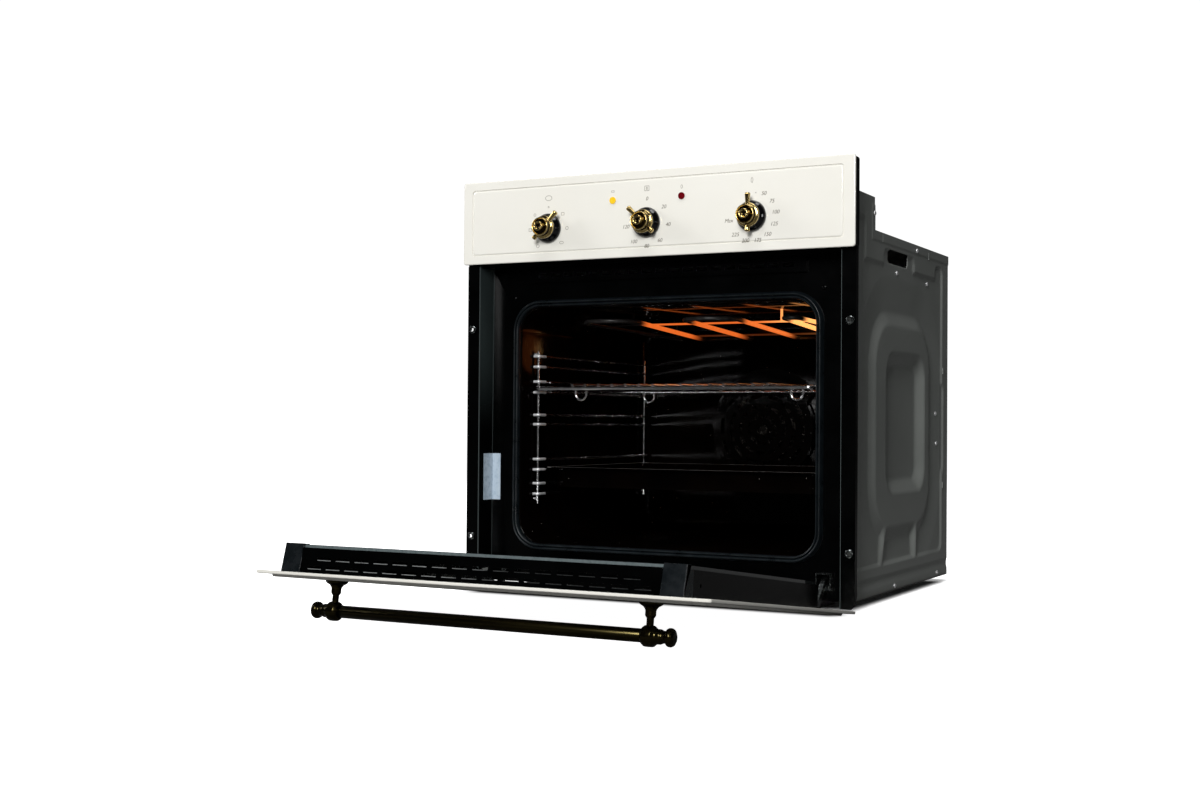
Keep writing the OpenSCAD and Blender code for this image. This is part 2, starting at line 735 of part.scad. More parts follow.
module lamp_bulb() {
    z = lamp_height;
    color([1, 0.85, 0.55])
    place()
    translate([158, cav_y1 + 27, z]) rotate([90, 0, 0])
    rotate_extrude($fn = 40) polygon([[0, 0.2], [6.9, 0.2], [6.9, 14], [8, 18], [11, 24], [12, 29],
        [11, 34], [8, 38], [4, 40], [0, 40.5]]);
}

module lamp_lens() {
    z = lamp_height;
    color([0.85, 0.85, 0.8, 0.6])
    place()
    translate([158, cav_y1 + 16, z]) rotate([90, 0, 0])
    rotate_extrude($fn = 64) polygon([[14.2, 0], [17.4, 0], [17.4, 16.2], [27, 16.2], [27, 22],
        [24, 28], [18, 33], [10, 36], [0, 37], [0, 34.6], [9, 33.6], [16, 30.8], [21, 26.6],
        [23.4, 22.6], [23.4, 18.8], [14.2, 18.8]]);
}

// Wire rack on one side wall, with runners in pairs.
module side_rack() {
    union() {
        for (y = [cav_y0 + 39, cav_y1 - 11])
            pin_z(rack_x, y, rack_low, rack_high - rack_low, upright_d / 2);
        for (z = rack_levels)
            translate([runner_x, cav_y0 + 33, z]) rotate([-90, 0, 0])
                cylinder(r = runner_d / 2, h = cavity_depth - 42, $fn = 20);
        for (y = [cav_y0 + 39, cav_y1 - 11])
            for (z = rack_levels)
                pin_x(y, z, runner_x, rack_x - runner_x, runner_d / 2);
        for (y = [cav_y0 + 39, cav_y1 - 11])
            for (z = [rack_low + 7, rack_high - 4])
                pin_x(y, z, rack_x, cav_half - rack_x, upright_d / 2);
    }
}

module side_rack_left() {
    color([0.82, 0.82, 0.84])
    place() mirror([1, 0, 0]) side_rack();
}

module side_rack_right() {
    color([0.82, 0.82, 0.84])
    place() side_rack();
}

// Bushing, body and terminals shared by the three controls.
module control_body(x, w, h, d) {
    y0 = case_y0 + sheet;
    difference() {
        union() {
            front_plate(y0, d) rrect(x - w / 2, x + w / 2, knob_z - h / 2, knob_z + h / 2, 3);
            pin_y(x, knob_z, y0 - 4, 5, 4.8);
            for (i = [-1 : 1])
                block([x + i * w / 4 - 3, y0 + d - 1, knob_z - 6],
                    [x + i * w / 4 + 3, y0 + d + 7, knob_z - 5.2]);
        }
        pin_y(x, knob_z, y0 - 6, 20, shaft_d / 2 + 0.4);
    }
}

module function_switch() {
    color([0.85, 0.82, 0.72])
    place() control_body(-knob_spacing, 44, 44, 34);
}

module timer() {
    color([0.2, 0.2, 0.22])
    place()
    union() {
        control_body(0, 48, 50, 30);
        pin_y(0, knob_z + 12, case_y0 + sheet + 29, 9, 9);
    }
}

// Thermostat with its capillary tube and the sensing bulb in the cavity roof.
module thermostat() {
    x = knob_spacing + 14;
    z0 = cav_top - 10;
    z1 = knob_z - 14;
    color([0.72, 0.7, 0.6])
    place()
    union() {
        control_body(knob_spacing, 42, 40, 32);
        pin_y(x, z1, case_y0 + 30, 185, 1.2);
        translate([x, case_y0 + 215, z1]) sphere(r = 1.2, $fn = 24);
        pin_z(x, case_y0 + 215, z0, z1 - z0, 1.2);
        pin_y(x, z0, case_y0 + 213, 102, 3);
    }
}

// Cable inlet with a terminal block on the rear sheet.
module terminal_block() {
    color([0.12, 0.12, 0.13])
    place()
    difference() {
        union() {
            front_plate(case_y1, 3) block_rect(46, 26, 5);
            front_plate(case_y1 - 20, 20) block_rect(40, 20, 3);
            front_plate(case_y1 + 2, 12) block_rect(36, 16, 4);
        }
        front_plate(case_y1 - 18, 30) block_rect(34, 14, 3);
        pin_z(-block_x, case_y1 + 8, block_z - 25, 20, 4);
    }
}

module block_rect(w, h, r) {
    rrect(-block_x - w, -block_x + w, block_z - h, block_z + h, r);
}

module lamp_body(x) {
    pin_y(x, lamp_z, -1.2, 1.2, lamp_d / 2 + 0.8);
    pin_y(x, lamp_z, 0, case_y0 - 1.8, lamp_d / 2);
}

module power_lamp() {
    color([0.98, 0.8, 0.15])
    place() lamp_body(-lamp_x);
}

module heating_lamp() {
    color([0.55, 0.03, 0.05])
    place() lamp_body(lamp_x);
}

// Steel channel that takes the hinge arm behind the front frame.
module hinge_receiver() {
    difference() {
        union() {
            block([hinge_x - 10.5, face_y - 10, hinge_z - 11.5], [hinge_x + 10.5, face_y + 34, hinge_z + 11.5]);
            block([hinge_x - 17, face_y + sheet, hinge_z - 15.5],
                [hinge_x + 17, face_y + sheet + 1.5, hinge_z + 15.5]);
        }
        block([hinge_x - 9, face_y - 12, hinge_z - 10], [hinge_x + 9, face_y + 32.5, hinge_z + 10]);
        block([hinge_x - 9, face_y - 12, hinge_z - 13.5], [hinge_x + 9, face_y - 0.5, hinge_z - 7.5]);
    }
}

module hinge_receiver_left() {
    color([0.75, 0.76, 0.77])
    place() mirror([1, 0, 0]) hinge_receiver();
}

module hinge_receiver_right() {
    color([0.75, 0.76, 0.77])
    place() hinge_receiver();
}

// Fixed arm from the receiver to the pivot at the foot of the door.
module hinge_arm() {
    difference() {
        union() {
            side_plate(hinge_x - 3, 6) polygon([[face_y + 30, hinge_z - 9], [face_y + 30, hinge_z + 6.5],
                [face_y - 2, hinge_z + 6.5], [face_y - 14, hinge_z - 1.5], [pivot_y + 6, pivot_z + 7.5],
                [pivot_y + 1, pivot_z + 4.3], [pivot_y + 1.5, pivot_z - 4.2], [pivot_y + 10, pivot_z],
                [face_y - 4, hinge_z - 9.6], [face_y + 6, hinge_z - 9]]);
            pin_x(pivot_y, pivot_z, hinge_x - 3, 6, 4.5);
            block([hinge_x - 9, face_y + 8, hinge_z - 10], [hinge_x + 9, face_y + 30, hinge_z - 6.5]);
        }
        pin_x(pivot_y, pivot_z, hinge_x - 5, 10, pin_d / 2 + pin_clear);
    }
}

module hinge_arm_left() {
    color([0.45, 0.46, 0.47])
    place() mirror([1, 0, 0]) hinge_arm();
}

module hinge_arm_right() {
    color([0.45, 0.46, 0.47])
    place() hinge_arm();
}

// Steel eyelets in the four fixing holes of the flanges.
module fixing_ferrules() {
    color([0.8, 0.8, 0.82])
    place()
    for (x = [-half_w + 10, half_w - 10])
        for (z = [79, 380])
            translate([x, flange_depth + sheet, z]) rotate([90, 0, 0]) rotate_extrude($fn = 40)
                polygon([[2.6, 0], [3.5, 0], [3.5, sheet], [5.6, sheet], [5.6, 2.2], [4.4, 3.4],
                    [2.6, 3.4]]);
}

// Sheet-metal screws in the case and in the front frame.
module case_screws() {
    color([0.8, 0.8, 0.82])
    place()
    union() {
        both() for (p = rim_screws)
            screw_x(p[0], p[1], case_half);
        both() for (p = field_screws)
            screw_x(p[0], p[1], case_half - emboss);
        for (x = [-239, 239])
            screw_y(x, cav_top + 15, face_y);
        for (x = [-75, 75]) {
            pin_z(x, case_y0 + 4, wall_top - 1.8, 1.8, 3.4);
            pin_z(x, case_y0 + 4, wall_top - 0.5, 5, 1.5);
        }
        for (x = [-97, 97])
            for (z = [fan_z - 97, fan_z + 97])
                mirror_y_screw(x, z, case_y1 + sheet);
    }
}

module screw_x(y, z, x) {
    pin_x(y, z, x, 1.8, 3.4);
    pin_x(y, z, x - 7, 7.5, 1.5);
}

module screw_y(x, z, y) {
    pin_y(x, z, y - 1.8, 1.8, 3.4);
}

module mirror_y_screw(x, z, y) {
    pin_y(x, z, y, 1.8, 3.4);
}

// Blank rating plate, folded over the recess wall and the recessed face.
module rating_label() {
    color([0.6, 0.68, 0.78])
    place()
    union() {
        block([-recess_in, face_y - 25, cavity_floor + 61], [-recess_in + 0.4, face_y, cavity_floor + 129]);
        block([-recess_in, face_y - 0.4, cavity_floor + 61],
            [-recess_in + 13.6, face_y, cavity_floor + 129]);
    }
}

// Bell-shaped knob skirt.
module knob_skirt(x) {
    s = skirt_d / 2;
    translate([x, 0, knob_z]) rotate([90, 0, 0]) rotate_extrude($fn = 72) polygon([
        [shaft_d / 2 + 0.05, skirt_gap], [s - 0.6, skirt_gap], [s, skirt_gap + 0.6], [s, 3.2],
        [s - 0.5, 4.6], [s - 1.9, 6.6], [s - 4, 8.6], [s - 5.4, 10.4], [s - 6, 12.2], [s - 6, 13],
        [shaft_d / 2 + 0.05, 13]]);
}

// Brass grip with a collar, a stepped boss and two spokes.
module knob_grip(x, a) {
    translate([x, 0, knob_z]) rotate([0, a, 0]) union() {
        rotate([90, 0, 0]) difference() {
            rotate_extrude($fn = 72) polygon([[0, 13], [15.6, 13], [16.5, 13.8], [16.5, 16],
                [15.4, 17.2], [14, 17.6], [14, 24.5], [12.6, 26.4], [9.8, 26.8], [9.8, 28.4], [8.8, 29.2],
                [5.4, 29.2], [5.4, 30.6], [4.4, 31.4], [0, 31.4]]);
            translate([0, 0, 12]) cylinder(r = shaft_d / 2 + 0.05, h = 9, $fn = 32);
        }
        translate([0, -15.4, 14]) cylinder(r1 = 1.9, r2 = 2.5, h = 15.5, $fn = 24);
        translate([0, -15.4, -14]) rotate([180, 0, 0]) cylinder(r1 = 1.9, r2 = 2.3, h = 8.5, $fn = 24);
    }
}

// Shaft of one control, with a flat at the knob end.
module control_shaft(x) {
    difference() {
        pin_y(x, knob_z, -20.5, 54, shaft_d / 2);
        block([x - 4, -21, knob_z + shaft_d / 2 - 1], [x + 4, -2, knob_z + 5]);
    }
}

module function_skirt() {
    color([0.03, 0.03, 0.035])
    place() knob_skirt(-knob_spacing);
}

module function_grip() {
    color([0.62, 0.52, 0.28])
    place() knob_grip(-knob_spacing, 45);
}

module function_shaft() {
    color([0.7, 0.7, 0.72])
    place() control_shaft(-knob_spacing);
}

module timer_skirt() {
    color([0.03, 0.03, 0.035])
    place() knob_skirt(0);
}

module timer_grip() {
    color([0.62, 0.52, 0.28])
    place() knob_grip(0, -47);
}

module timer_shaft() {
    color([0.7, 0.7, 0.72])
    place() control_shaft(0);
}

module thermostat_skirt() {
    color([0.03, 0.03, 0.035])
    place() knob_skirt(knob_spacing);
}

module thermostat_grip() {
    color([0.62, 0.52, 0.28])
    place() knob_grip(knob_spacing, 0);
}

module thermostat_shaft() {
    color([0.7, 0.7, 0.72])
    place() control_shaft(knob_spacing);
}

// Impeller of the convection fan on its motor shaft.
module convection_fan() {
    r = fan_d / 2;
    y0 = cav_y1 - 22;
    color([0.62, 0.62, 0.63])
    place()
    union() {
        pin_y(0, fan_z, cav_y1 - 6, 3, r - 6);
        pin_y(0, fan_z, y0, 18, 8);
        pin_y(0, fan_z, y0, 75, shaft_d / 2);
        for (a = [0 : 30 : 330])
            translate([0, y0 + 2, fan_z]) rotate([0, a, 0]) translate([r - 34, 0, 0]) rotate([0, 18, 0])
                cube([32, 15, 1.2]);
    }
}

// Chromed wire shelf.
module wire_shelf() {
    x1 = rack_x - upright_d / 2 - 3.5;
    y0 = cav_y0 + 17;
    y1 = y0 + shelf_length;
    color([0.85, 0.85, 0.87])
    place()
    union() {
        for (x = [-x1, x1])
            pin_y(x, shelf_z, y0 + 8, shelf_length - 16, 3);
        for (y = [y0, y1])
            pin_x(y, shelf_z, -x1 + 8, 2 * x1 - 16, 3);
        for (p = [[-x1 + 8, y0 + 8, 180], [x1 - 8, y0 + 8, 270], [x1 - 8, y1 - 8, 0], [-x1 + 8, y1 - 8, 90]])
            translate([p[0], p[1], shelf_z]) rotate([0, 0, p[2]])
                rotate_extrude(angle = 90, $fn = 48) translate([8, 0]) circle(r = 3, $fn = 20);
        for (y = [y0 + 62, y1 - 62])
            pin_x(y, shelf_z + 0.4, -x1, 2 * x1, 2.4);
        for (i = [-7 : 7])
            pin_y(i * 21.7, shelf_z + 4.6, y0 - 2, shelf_length + 4, 2);
        for (x = [-171, 171])
            for (y = [y0 + 62, y1 - 62])
                wire_foot(x, y);
    }
}

// A U of wire below the shelf that stops it from being pulled out.
module wire_foot(x, y) {
    r = 9;
    for (s = [-r, r])
        pin_z(x + s, y, shelf_z - 7, 8, 2);
    translate([x, y, shelf_z - 7]) rotate([-90, 0, 0])
        rotate_extrude(angle = 180, $fn = 48) translate([r, 0]) circle(r = 2, $fn = 20);
}

// Enamelled baking tray whose rim slides on the runners.
module baking_tray() {
    x1 = runner_x;
    y1 = cav_y1 - 33.2;
    y0 = y1 - tray_length;
    color([0.1, 0.1, 0.11])
    place()
    difference() {
        union() {
            translate([0, 0, tray_z]) linear_extrude(1.5) rrect(-x1, x1, y0, y1, 12);
            translate([0, 0, tray_z - tray_depth]) linear_extrude(tray_depth)
                rrect(-x1 + 10, x1 - 10, y0 + 10, y1 - 10, 16);
        }
        translate([0, 0, tray_z - tray_depth + 1.2]) linear_extrude(tray_depth + 2)
            rrect(-x1 + 11.2, x1 - 11.2, y0 + 11.2, y1 - 11.2, 15);
    }
}

// Outer door skin, a shallow pan with a raised field and a window.
module door_skin() {
    b = skin_border;
    wz = door_bottom + 234;
    color([0.93, 0.91, 0.86])
    door_pose()
    difference() {
        union() {
            front_plate(skin_y, skin) rrect(-half_w, half_w, door_bottom, door_top, 4);
            front_plate(0, skin_y + skin) rrect(-half_w + b, half_w - b, door_bottom + b, door_top - b, 6);
            both() block([half_w - skin, skin_y, door_bottom + 4], [half_w, skin_y + 4, door_top - 4]);
            block([-half_w + 4, skin_y, door_top - skin], [half_w - 4, skin_y + 4, door_top]);
        }
        front_plate(skin, skin_y + 4) rrect(-half_w + b + skin, half_w - b - skin,
            door_bottom + b + skin, door_top - b - skin, 5);
        front_plate(-1, 6) rrect(-window_width / 2, window_width / 2,
            wz - window_height / 2, wz + window_height / 2, 18);
        for (x = [-post_spacing / 2, post_spacing / 2])
            pin_y(x, handle_height, -1, 6, 2.6);
    }
}

module door_window_glass() {
    wz = door_bottom + 234;
    color([0.1, 0.1, 0.1, 0.5])
    door_pose()
    front_plate(skin, pane) rrect(-window_width / 2 - 14, window_width / 2 + 14,
        wz - window_height / 2 - 14, wz + window_height / 2 + 14, 8);
}

// Inner pane on the cavity side, which meets the gasket.
module door_inner_glass() {
    color([0.35, 0.42, 0.42, 0.4])
    door_pose()
    front_plate(glass_y0, pane) rrect(-body_half + 2, body_half - 2, body_low + 2, body_top - 6, 4);
}

// Folded side channels of the door body.
module door_side_profiles() {
    color([0.05, 0.05, 0.055])
    door_pose()
    both() difference() {
        block([body_half - 16, skin, body_low], [body_half, glass_y0, body_top - 22]);
        block([body_half - 20, skin + sheet, body_low - 1],
            [body_half - sheet, glass_y0 - sheet, body_top]);
        block([body_half - 24, skin - 1, body_low - 1], [body_half - 7, glass_y0 - sheet, body_low + 150]);
        pin_x((body_y0 + glass_y0) / 2, body_top - 40, body_half - 4, 8, 2);
    }
}

// Slotted profile that closes the upper end of the door body.
module door_vent_profile() {
    color([0.04, 0.04, 0.045])
    door_pose()
    difference() {
        block([-body_half + 28, body_y0, body_top - 20], [body_half - 28, glass_y0, body_top]);
        block([-body_half + 27, body_y0 + sheet, body_top - 21],
            [body_half - 27, glass_y0 - sheet, body_top - sheet]);
        for (i = [-8 : 8])
            block([i * 27 - 10, body_y0 + 8, body_top - 4], [i * 27 + 10, body_y0 + 11.5, body_top + 2]);
        for (i = [-8 : 7])
            block([i * 27 + 3.5, body_y0 + 18.5, body_top - 4], [i * 27 + 23.5, body_y0 + 22, body_top + 2]);
    }
}

// Plastic caps on the two upper corners of the door body.
module door_end_caps() {
    color([0.2, 0.23, 0.25])
    door_pose()
    both() difference() {
        side_plate(body_half - 27.6, 27.6) polygon([[body_y0, body_top - 22],
            [body_y0, body_top + 2.5], [glass_y1 + 1, body_top - 3.5], [glass_y1 + 1, body_top - 14],
            [glass_y1, body_top - 14], [glass_y1, body_top - 5.6], [glass_y0, body_top - 5.6],
            [glass_y0, body_top - 22]]);
        block([body_half - 29, body_y0 + 2.5, body_top - 23], [body_half - 2.5, glass_y0 - 2.5, body_top - 6]);
    }
}

// Hinge cassettes in the door with their pins.
module door_hinges() {
    color([0.4, 0.41, 0.42])
    door_pose()
    both() union() {
        for (x = [hinge_x - 7.2, hinge_x + 3.7])
            hinge_cheek(x);
        block([hinge_x - 7.2, body_y0 + 7, body_low + 12], [hinge_x + 7.2, body_y0 + 10, body_low + 140]);
        block([hinge_x - 7.2, glass_y0 - 7, body_low + 30], [hinge_x + 7.2, glass_y0 - 4, body_low + 140]);
        pin_x(pivot_y, pivot_z, hinge_x - 7.2, 14.4, pin_d / 2);
    }
}

module hinge_cheek(x) {
    side_plate(x, 3.5) polygon([[pivot_y - 4, pivot_z], [pivot_y - 2.4, pivot_z - 3.2],
        [pivot_y + 2, pivot_z - 4], [pivot_y + 5, pivot_z], [pivot_y + 7, pivot_z + 16],
        [glass_y0 - 4, body_low + 6], [glass_y0 - 4, body_low + 140], [body_y0 + 7, body_low + 140],
        [body_y0 + 7, body_low - 6], [pivot_y - 3.4, pivot_z + 5]]);
}

// Handle bar between the two knuckles.
module handle_bar() {
    l = post_spacing - 17;
    color([0.24, 0.19, 0.12])
    door_pose()
    pin_x(-handle_reach, handle_height, -l / 2, l, bar_d / 2);
}

// Cast posts with their knuckles and turned end knobs.
module handle_posts() {
    x = post_spacing / 2;
    color([0.3, 0.24, 0.14])
    door_pose()
    both() union() {
        translate([x, 0, handle_height]) rotate([90, 0, 0]) rotate_extrude($fn = 48) polygon([[0, 0],
            [13.5, 0], [13.5, 1.4], [12, 3], [8.4, 5], [6.6, 7.4], [6, 9], [6, 14], [5.2, 15.6], [4, 17],
            [4, 28.6], [0, 28.6]]);
        pin_y(x, handle_height, -0.5, 5, 2.4);
        translate([x, -handle_reach, handle_height]) rotate([0, 90, 0]) rotate_extrude($fn = 56) polygon([
            [0, -8.5], [8.4, -8.5], [9.6, -7.4], [11.4, -5], [11.7, 0.3], [11.4, 5.2], [10.2, 6.9],
            [8.8, 8.4], [8.2, 10], [8.2, 14], [7, 16.5], [6.6, 19.5], [7.4, 21], [9.4, 22], [10.2, 24],
            [10.2, 26.4], [9.2, 28.6], [6, 30.4], [0, 31]]);
    }
}

control_panel();
panel_bracket();
front_frame();
air_outlet_grille();
cavity_gasket();
cavity();
side_panel_left();
side_panel_right();
base_pan();
top_cover();
control_housing_cover();
rear_cover();
rear_motor_cover();
insulation();
grill_element();
bake_element();
fan_cover();
fan_motor();
cooling_duct();
blower_motor();
lamp_holder();
lamp_bulb();
lamp_lens();
side_rack_left();
side_rack_right();
function_switch();
timer();
thermostat();
terminal_block();
power_lamp();
heating_lamp();
hinge_receiver_left();
hinge_receiver_right();
hinge_arm_left();
hinge_arm_right();
fixing_ferrules();
case_screws();
rating_label();
function_skirt();
function_grip();
function_shaft();
timer_skirt();
timer_grip();
timer_shaft();
thermostat_skirt();
thermostat_grip();
thermostat_shaft();
convection_fan();
blower_wheel();
wire_shelf();
baking_tray();
door_skin();
door_window_glass();
door_inner_glass();
door_side_profiles();
door_vent_profile();
door_end_caps();
door_hinges();
handle_bar();
handle_posts();
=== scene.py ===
import json
import math

import bmesh
import bpy
import numpy as np
from mathutils import Matrix, Vector


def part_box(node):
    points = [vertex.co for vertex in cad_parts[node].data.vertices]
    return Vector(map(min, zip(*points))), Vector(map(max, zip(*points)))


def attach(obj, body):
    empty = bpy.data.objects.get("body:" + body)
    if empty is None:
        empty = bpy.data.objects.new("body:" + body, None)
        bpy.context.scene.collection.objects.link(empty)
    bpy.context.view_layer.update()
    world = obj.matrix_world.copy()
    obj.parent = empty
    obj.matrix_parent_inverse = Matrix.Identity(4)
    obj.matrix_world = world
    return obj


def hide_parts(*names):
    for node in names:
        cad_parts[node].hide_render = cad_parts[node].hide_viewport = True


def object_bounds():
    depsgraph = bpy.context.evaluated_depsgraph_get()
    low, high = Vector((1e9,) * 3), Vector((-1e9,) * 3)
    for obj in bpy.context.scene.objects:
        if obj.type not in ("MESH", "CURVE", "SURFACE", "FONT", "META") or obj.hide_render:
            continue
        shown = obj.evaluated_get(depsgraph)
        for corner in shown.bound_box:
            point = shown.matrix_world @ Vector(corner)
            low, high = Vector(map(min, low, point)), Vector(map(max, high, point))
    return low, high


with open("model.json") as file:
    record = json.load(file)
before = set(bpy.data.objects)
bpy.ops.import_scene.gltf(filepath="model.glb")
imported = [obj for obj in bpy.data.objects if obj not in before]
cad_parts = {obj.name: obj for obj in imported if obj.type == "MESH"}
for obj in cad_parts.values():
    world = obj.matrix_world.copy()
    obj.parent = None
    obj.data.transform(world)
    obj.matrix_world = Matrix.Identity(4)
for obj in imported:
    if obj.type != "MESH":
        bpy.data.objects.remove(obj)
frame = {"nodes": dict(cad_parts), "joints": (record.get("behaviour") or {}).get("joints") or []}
nodes = frame["nodes"]
cad_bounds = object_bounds()


# Oven cavity
# A deep-drawn steel liner, open at the front, with a flange that is clamped behind the front frame.
# It is fired with a glossy black enamel that turns brown where it is thin and holds a few pale specks.

panel_face = -round(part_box("control_panel")[0].y * 1000, 1)


def to_frame(p):
    """Millimetres counted from the panel face, to metres in the shared frame."""
    return (p[0] / 1000, (p[1] - panel_face) / 1000, p[2] / 1000)


def extent(name):
    """A node's lowest and highest corners, in millimetres counted from the panel face."""
    corners = []
    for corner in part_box(name):
        x, y, z = corner * 1000
        corners.append((round(x, 1), round(y + panel_face, 1), round(z, 1)))
    return corners


def rounded(half_x, z0, z1, r, y, n=10):
    """Corner points of a rounded rectangle that stands at depth y."""
    turns = ((half_x - r, z0 + r, -90), (half_x - r, z1 - r, 0),
             (r - half_x, z1 - r, 90), (r - half_x, z0 + r, 180))
    points = []
    for x, z, start in turns:
        for i in range(n + 1):
            a = math.radians(start + 90 * i / n)
            points.append((x + r * math.cos(a), y, z + r * math.sin(a)))
    return points


def lace(loops, first=False, last=False):
    """Faces between loops of equal count, with lids where they are asked for."""
    n = len(loops[0])
    faces = [(k * n + i, k * n + (i + 1) % n, (k + 1) * n + (i + 1) % n, (k + 1) * n + i)
             for k in range(len(loops) - 1) for i in range(n)]
    if first:
        faces.append(tuple(range(n)))
    if last:
        faces.append(tuple((len(loops) - 1) * n + i for i in range(n)))
    return [p for loop in loops for p in loop], faces


def make_piece(name, shape, material, body, stands_for=(), put=to_frame, facing=None, wall=0, sharp=35):
    """A mesh piece at the origin. A closed shape faces outwards, an open sheet faces the way given."""
    verts, faces = shape
    mesh = bpy.data.meshes.new(name)
    mesh.from_pydata([put(v) for v in verts], [], faces)
    work = bmesh.new()
    work.from_mesh(mesh)
    bmesh.ops.remove_doubles(work, verts=work.verts, dist=1e-6)
    bmesh.ops.recalc_face_normals(work, faces=work.faces)
    if facing and sum(f.normal.dot(Vector(facing)) * f.calc_area() for f in work.faces) < 0:
        bmesh.ops.reverse_faces(work, faces=work.faces)
    work.to_mesh(mesh)
    work.free()
    mesh.shade_smooth()
    mesh.set_sharp_from_angle(angle=math.radians(sharp))
    mesh.materials.append(material)
    piece = bpy.data.objects.new(name, mesh)
    bpy.context.scene.collection.objects.link(piece)
    if wall:
        sheet = piece.modifiers.new("sheet", "SOLIDIFY")
        sheet.thickness = wall / 1000
        sheet.offset = -1
    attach(piece, body)
    if stands_for:
        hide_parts(*stands_for)
    return piece


def shader_group(name, inputs, outputs):
    """An empty shader group with its sockets, and its two end nodes."""
    group = bpy.data.node_groups.new(name, "ShaderNodeTree")
    for label, kind, value in inputs:
        socket = group.interface.new_socket(label, in_out="INPUT", socket_type=kind)
        if value is not None:
            socket.default_value = value
    for label in outputs:
        group.interface.new_socket(label, in_out="OUTPUT", socket_type="NodeSocketFloat")
    return group, group.nodes.new("NodeGroupInput"), group.nodes.new("NodeGroupOutput")


def add(tree, kind, **settings):
    """A node with its settings; values holds numbers for its inputs."""
    node = tree.nodes.new(kind)
    for key, value in settings.items():
        if key == "values":
            for socket, number in value.items():
                node.inputs[socket].default_value = number
        else:
            setattr(node, key, value)
    return node


def grain_group(name, stretch=(1, 1, 1), spangle=False):
    """Patches that drift over a surface, and a fine grain on them."""
    inputs = [("Vector", "NodeSocketVector", None), ("Patch Scale", "NodeSocketFloat", 30.0),
              ("Grain Scale", "NodeSocketFloat", 1500.0)]
    group, start, end = shader_group(name, inputs, ["Patch", "Grain"])
    link = group.links.new
    turn = add(group, "ShaderNodeMapping", values={"Scale": stretch})
    link(start.outputs["Vector"], turn.inputs["Vector"])
    if spangle:
        flakes = add(group, "ShaderNodeTexVoronoi", values={"Randomness": 0.9})
        link(turn.outputs[0], flakes.inputs["Vector"])
        link(start.outputs["Patch Scale"], flakes.inputs["Scale"])
        parts = add(group, "ShaderNodeSeparateColor")
        link(flakes.outputs["Color"], parts.inputs[0])
        patch = parts.outputs[0]
    else:
        cloud = add(group, "ShaderNodeTexNoise", values={"Detail": 4.0, "Roughness": 0.6})
        link(turn.outputs[0], cloud.inputs["Vector"])
        link(start.outputs["Patch Scale"], cloud.inputs["Scale"])
        spread = add(group, "ShaderNodeMapRange", values={1: 0.32, 2: 0.68})
        link(cloud.outputs["Fac"], spread.inputs[0])
        patch = spread.outputs[0]
    fine = add(group, "ShaderNodeTexNoise", values={"Detail": 2.0})
    link(turn.outputs[0], fine.inputs["Vector"])
    link(start.outputs["Grain Scale"], fine.inputs["Scale"])
    link(patch, end.inputs["Patch"])
    link(fine.outputs["Fac"], end.inputs["Grain"])
    return group


even_grain = grain_group("even_grain")


def surface(name, shade, tone, rough, metal=0.0, grain=None, patch=30.0, fine=1500.0, relief=0.02, **fixed):
    """A finish whose colour and gloss drift between two values, with a relief in millimetres."""
    material = bpy.data.materials.new(name)
    material.use_nodes = True
    tree = material.node_tree
    link = tree.links.new
    shader = tree.nodes["Principled BSDF"]
    where = add(tree, "ShaderNodeTexCoord")
    look = add(tree, "ShaderNodeGroup", node_tree=grain or even_grain)
    look.inputs["Patch Scale"].default_value = patch
    look.inputs["Grain Scale"].default_value = fine
    link(where.outputs["Object"], look.inputs["Vector"])
    colour = add(tree, "ShaderNodeMix", data_type="RGBA", values={6: (*shade, 1), 7: (*tone, 1)})
    link(look.outputs["Patch"], colour.inputs[0])
    link(colour.outputs[2], shader.inputs["Base Color"])
    gloss = add(tree, "ShaderNodeMapRange", values={3: rough[0], 4: rough[1]})
    link(look.outputs["Patch"], gloss.inputs[0])
    link(gloss.outputs[0], shader.inputs["Roughness"])
    bump = add(tree, "ShaderNodeBump", values={"Distance": relief / 1000})
    link(look.outputs["Grain"], bump.inputs["Height"])
    link(bump.outputs[0], shader.inputs["Normal"])
    shader.inputs["Metallic"].default_value = metal
    for key, value in fixed.items():
        shader.inputs[key.replace("_", " ")].default_value = value
    return material


def product(tree, first, second):
    """Two masks multiplied."""
    node = add(tree, "ShaderNodeMath", operation="MULTIPLY")
    tree.links.new(first, node.inputs[0])
    tree.links.new(second, node.inputs[1])
    return node.outputs[0]


def tint(material, mask, tone):
    """Lays a tone over the base colour where the mask is 1."""
    tree = material.node_tree
    base = tree.nodes["Principled BSDF"].inputs["Base Color"]
    mix = add(tree, "ShaderNodeMix", data_type="RGBA", values={7: (*tone, 1)})
    tree.links.new(base.links[0].from_socket, mix.inputs[6])
    tree.links.new(mask, mix.inputs[0])
    tree.links.new(mix.outputs[2], base)


def speckle(material, pale, scale, size, share):
    """Pale specks of enamel, a share of the cells at that scale."""
    tree = material.node_tree
    link = tree.links.new
    where = add(tree, "ShaderNodeTexCoord")
    cells = add(tree, "ShaderNodeTexVoronoi", values={"Scale": scale})
    link(where.outputs["Object"], cells.inputs["Vector"])
    parts = add(tree, "ShaderNodeSeparateColor")
    link(cells.outputs["Color"], parts.inputs[0])
    chosen = add(tree, "ShaderNodeMath", operation="LESS_THAN", values={1: share})
    link(parts.outputs[0], chosen.inputs[0])
    close = add(tree, "ShaderNodeMath", operation="LESS_THAN", values={1: size})
    link(cells.outputs["Distance"], close.inputs[0])
    tint(material, product(tree, chosen.outputs[0], close.outputs[0]), pale)


cavity_enamel = surface("cavity_enamel", (0.0004, 0.0003, 0.0003), (0.0014, 0.0007, 0.0004), (0.05, 0.11),
                        patch=14, fine=420, relief=0.015, Specular_IOR_Level=0.07)
speckle(cavity_enamel, pale=(0.22, 0.21, 0.19), scale=230, size=0.13, share=0.04)

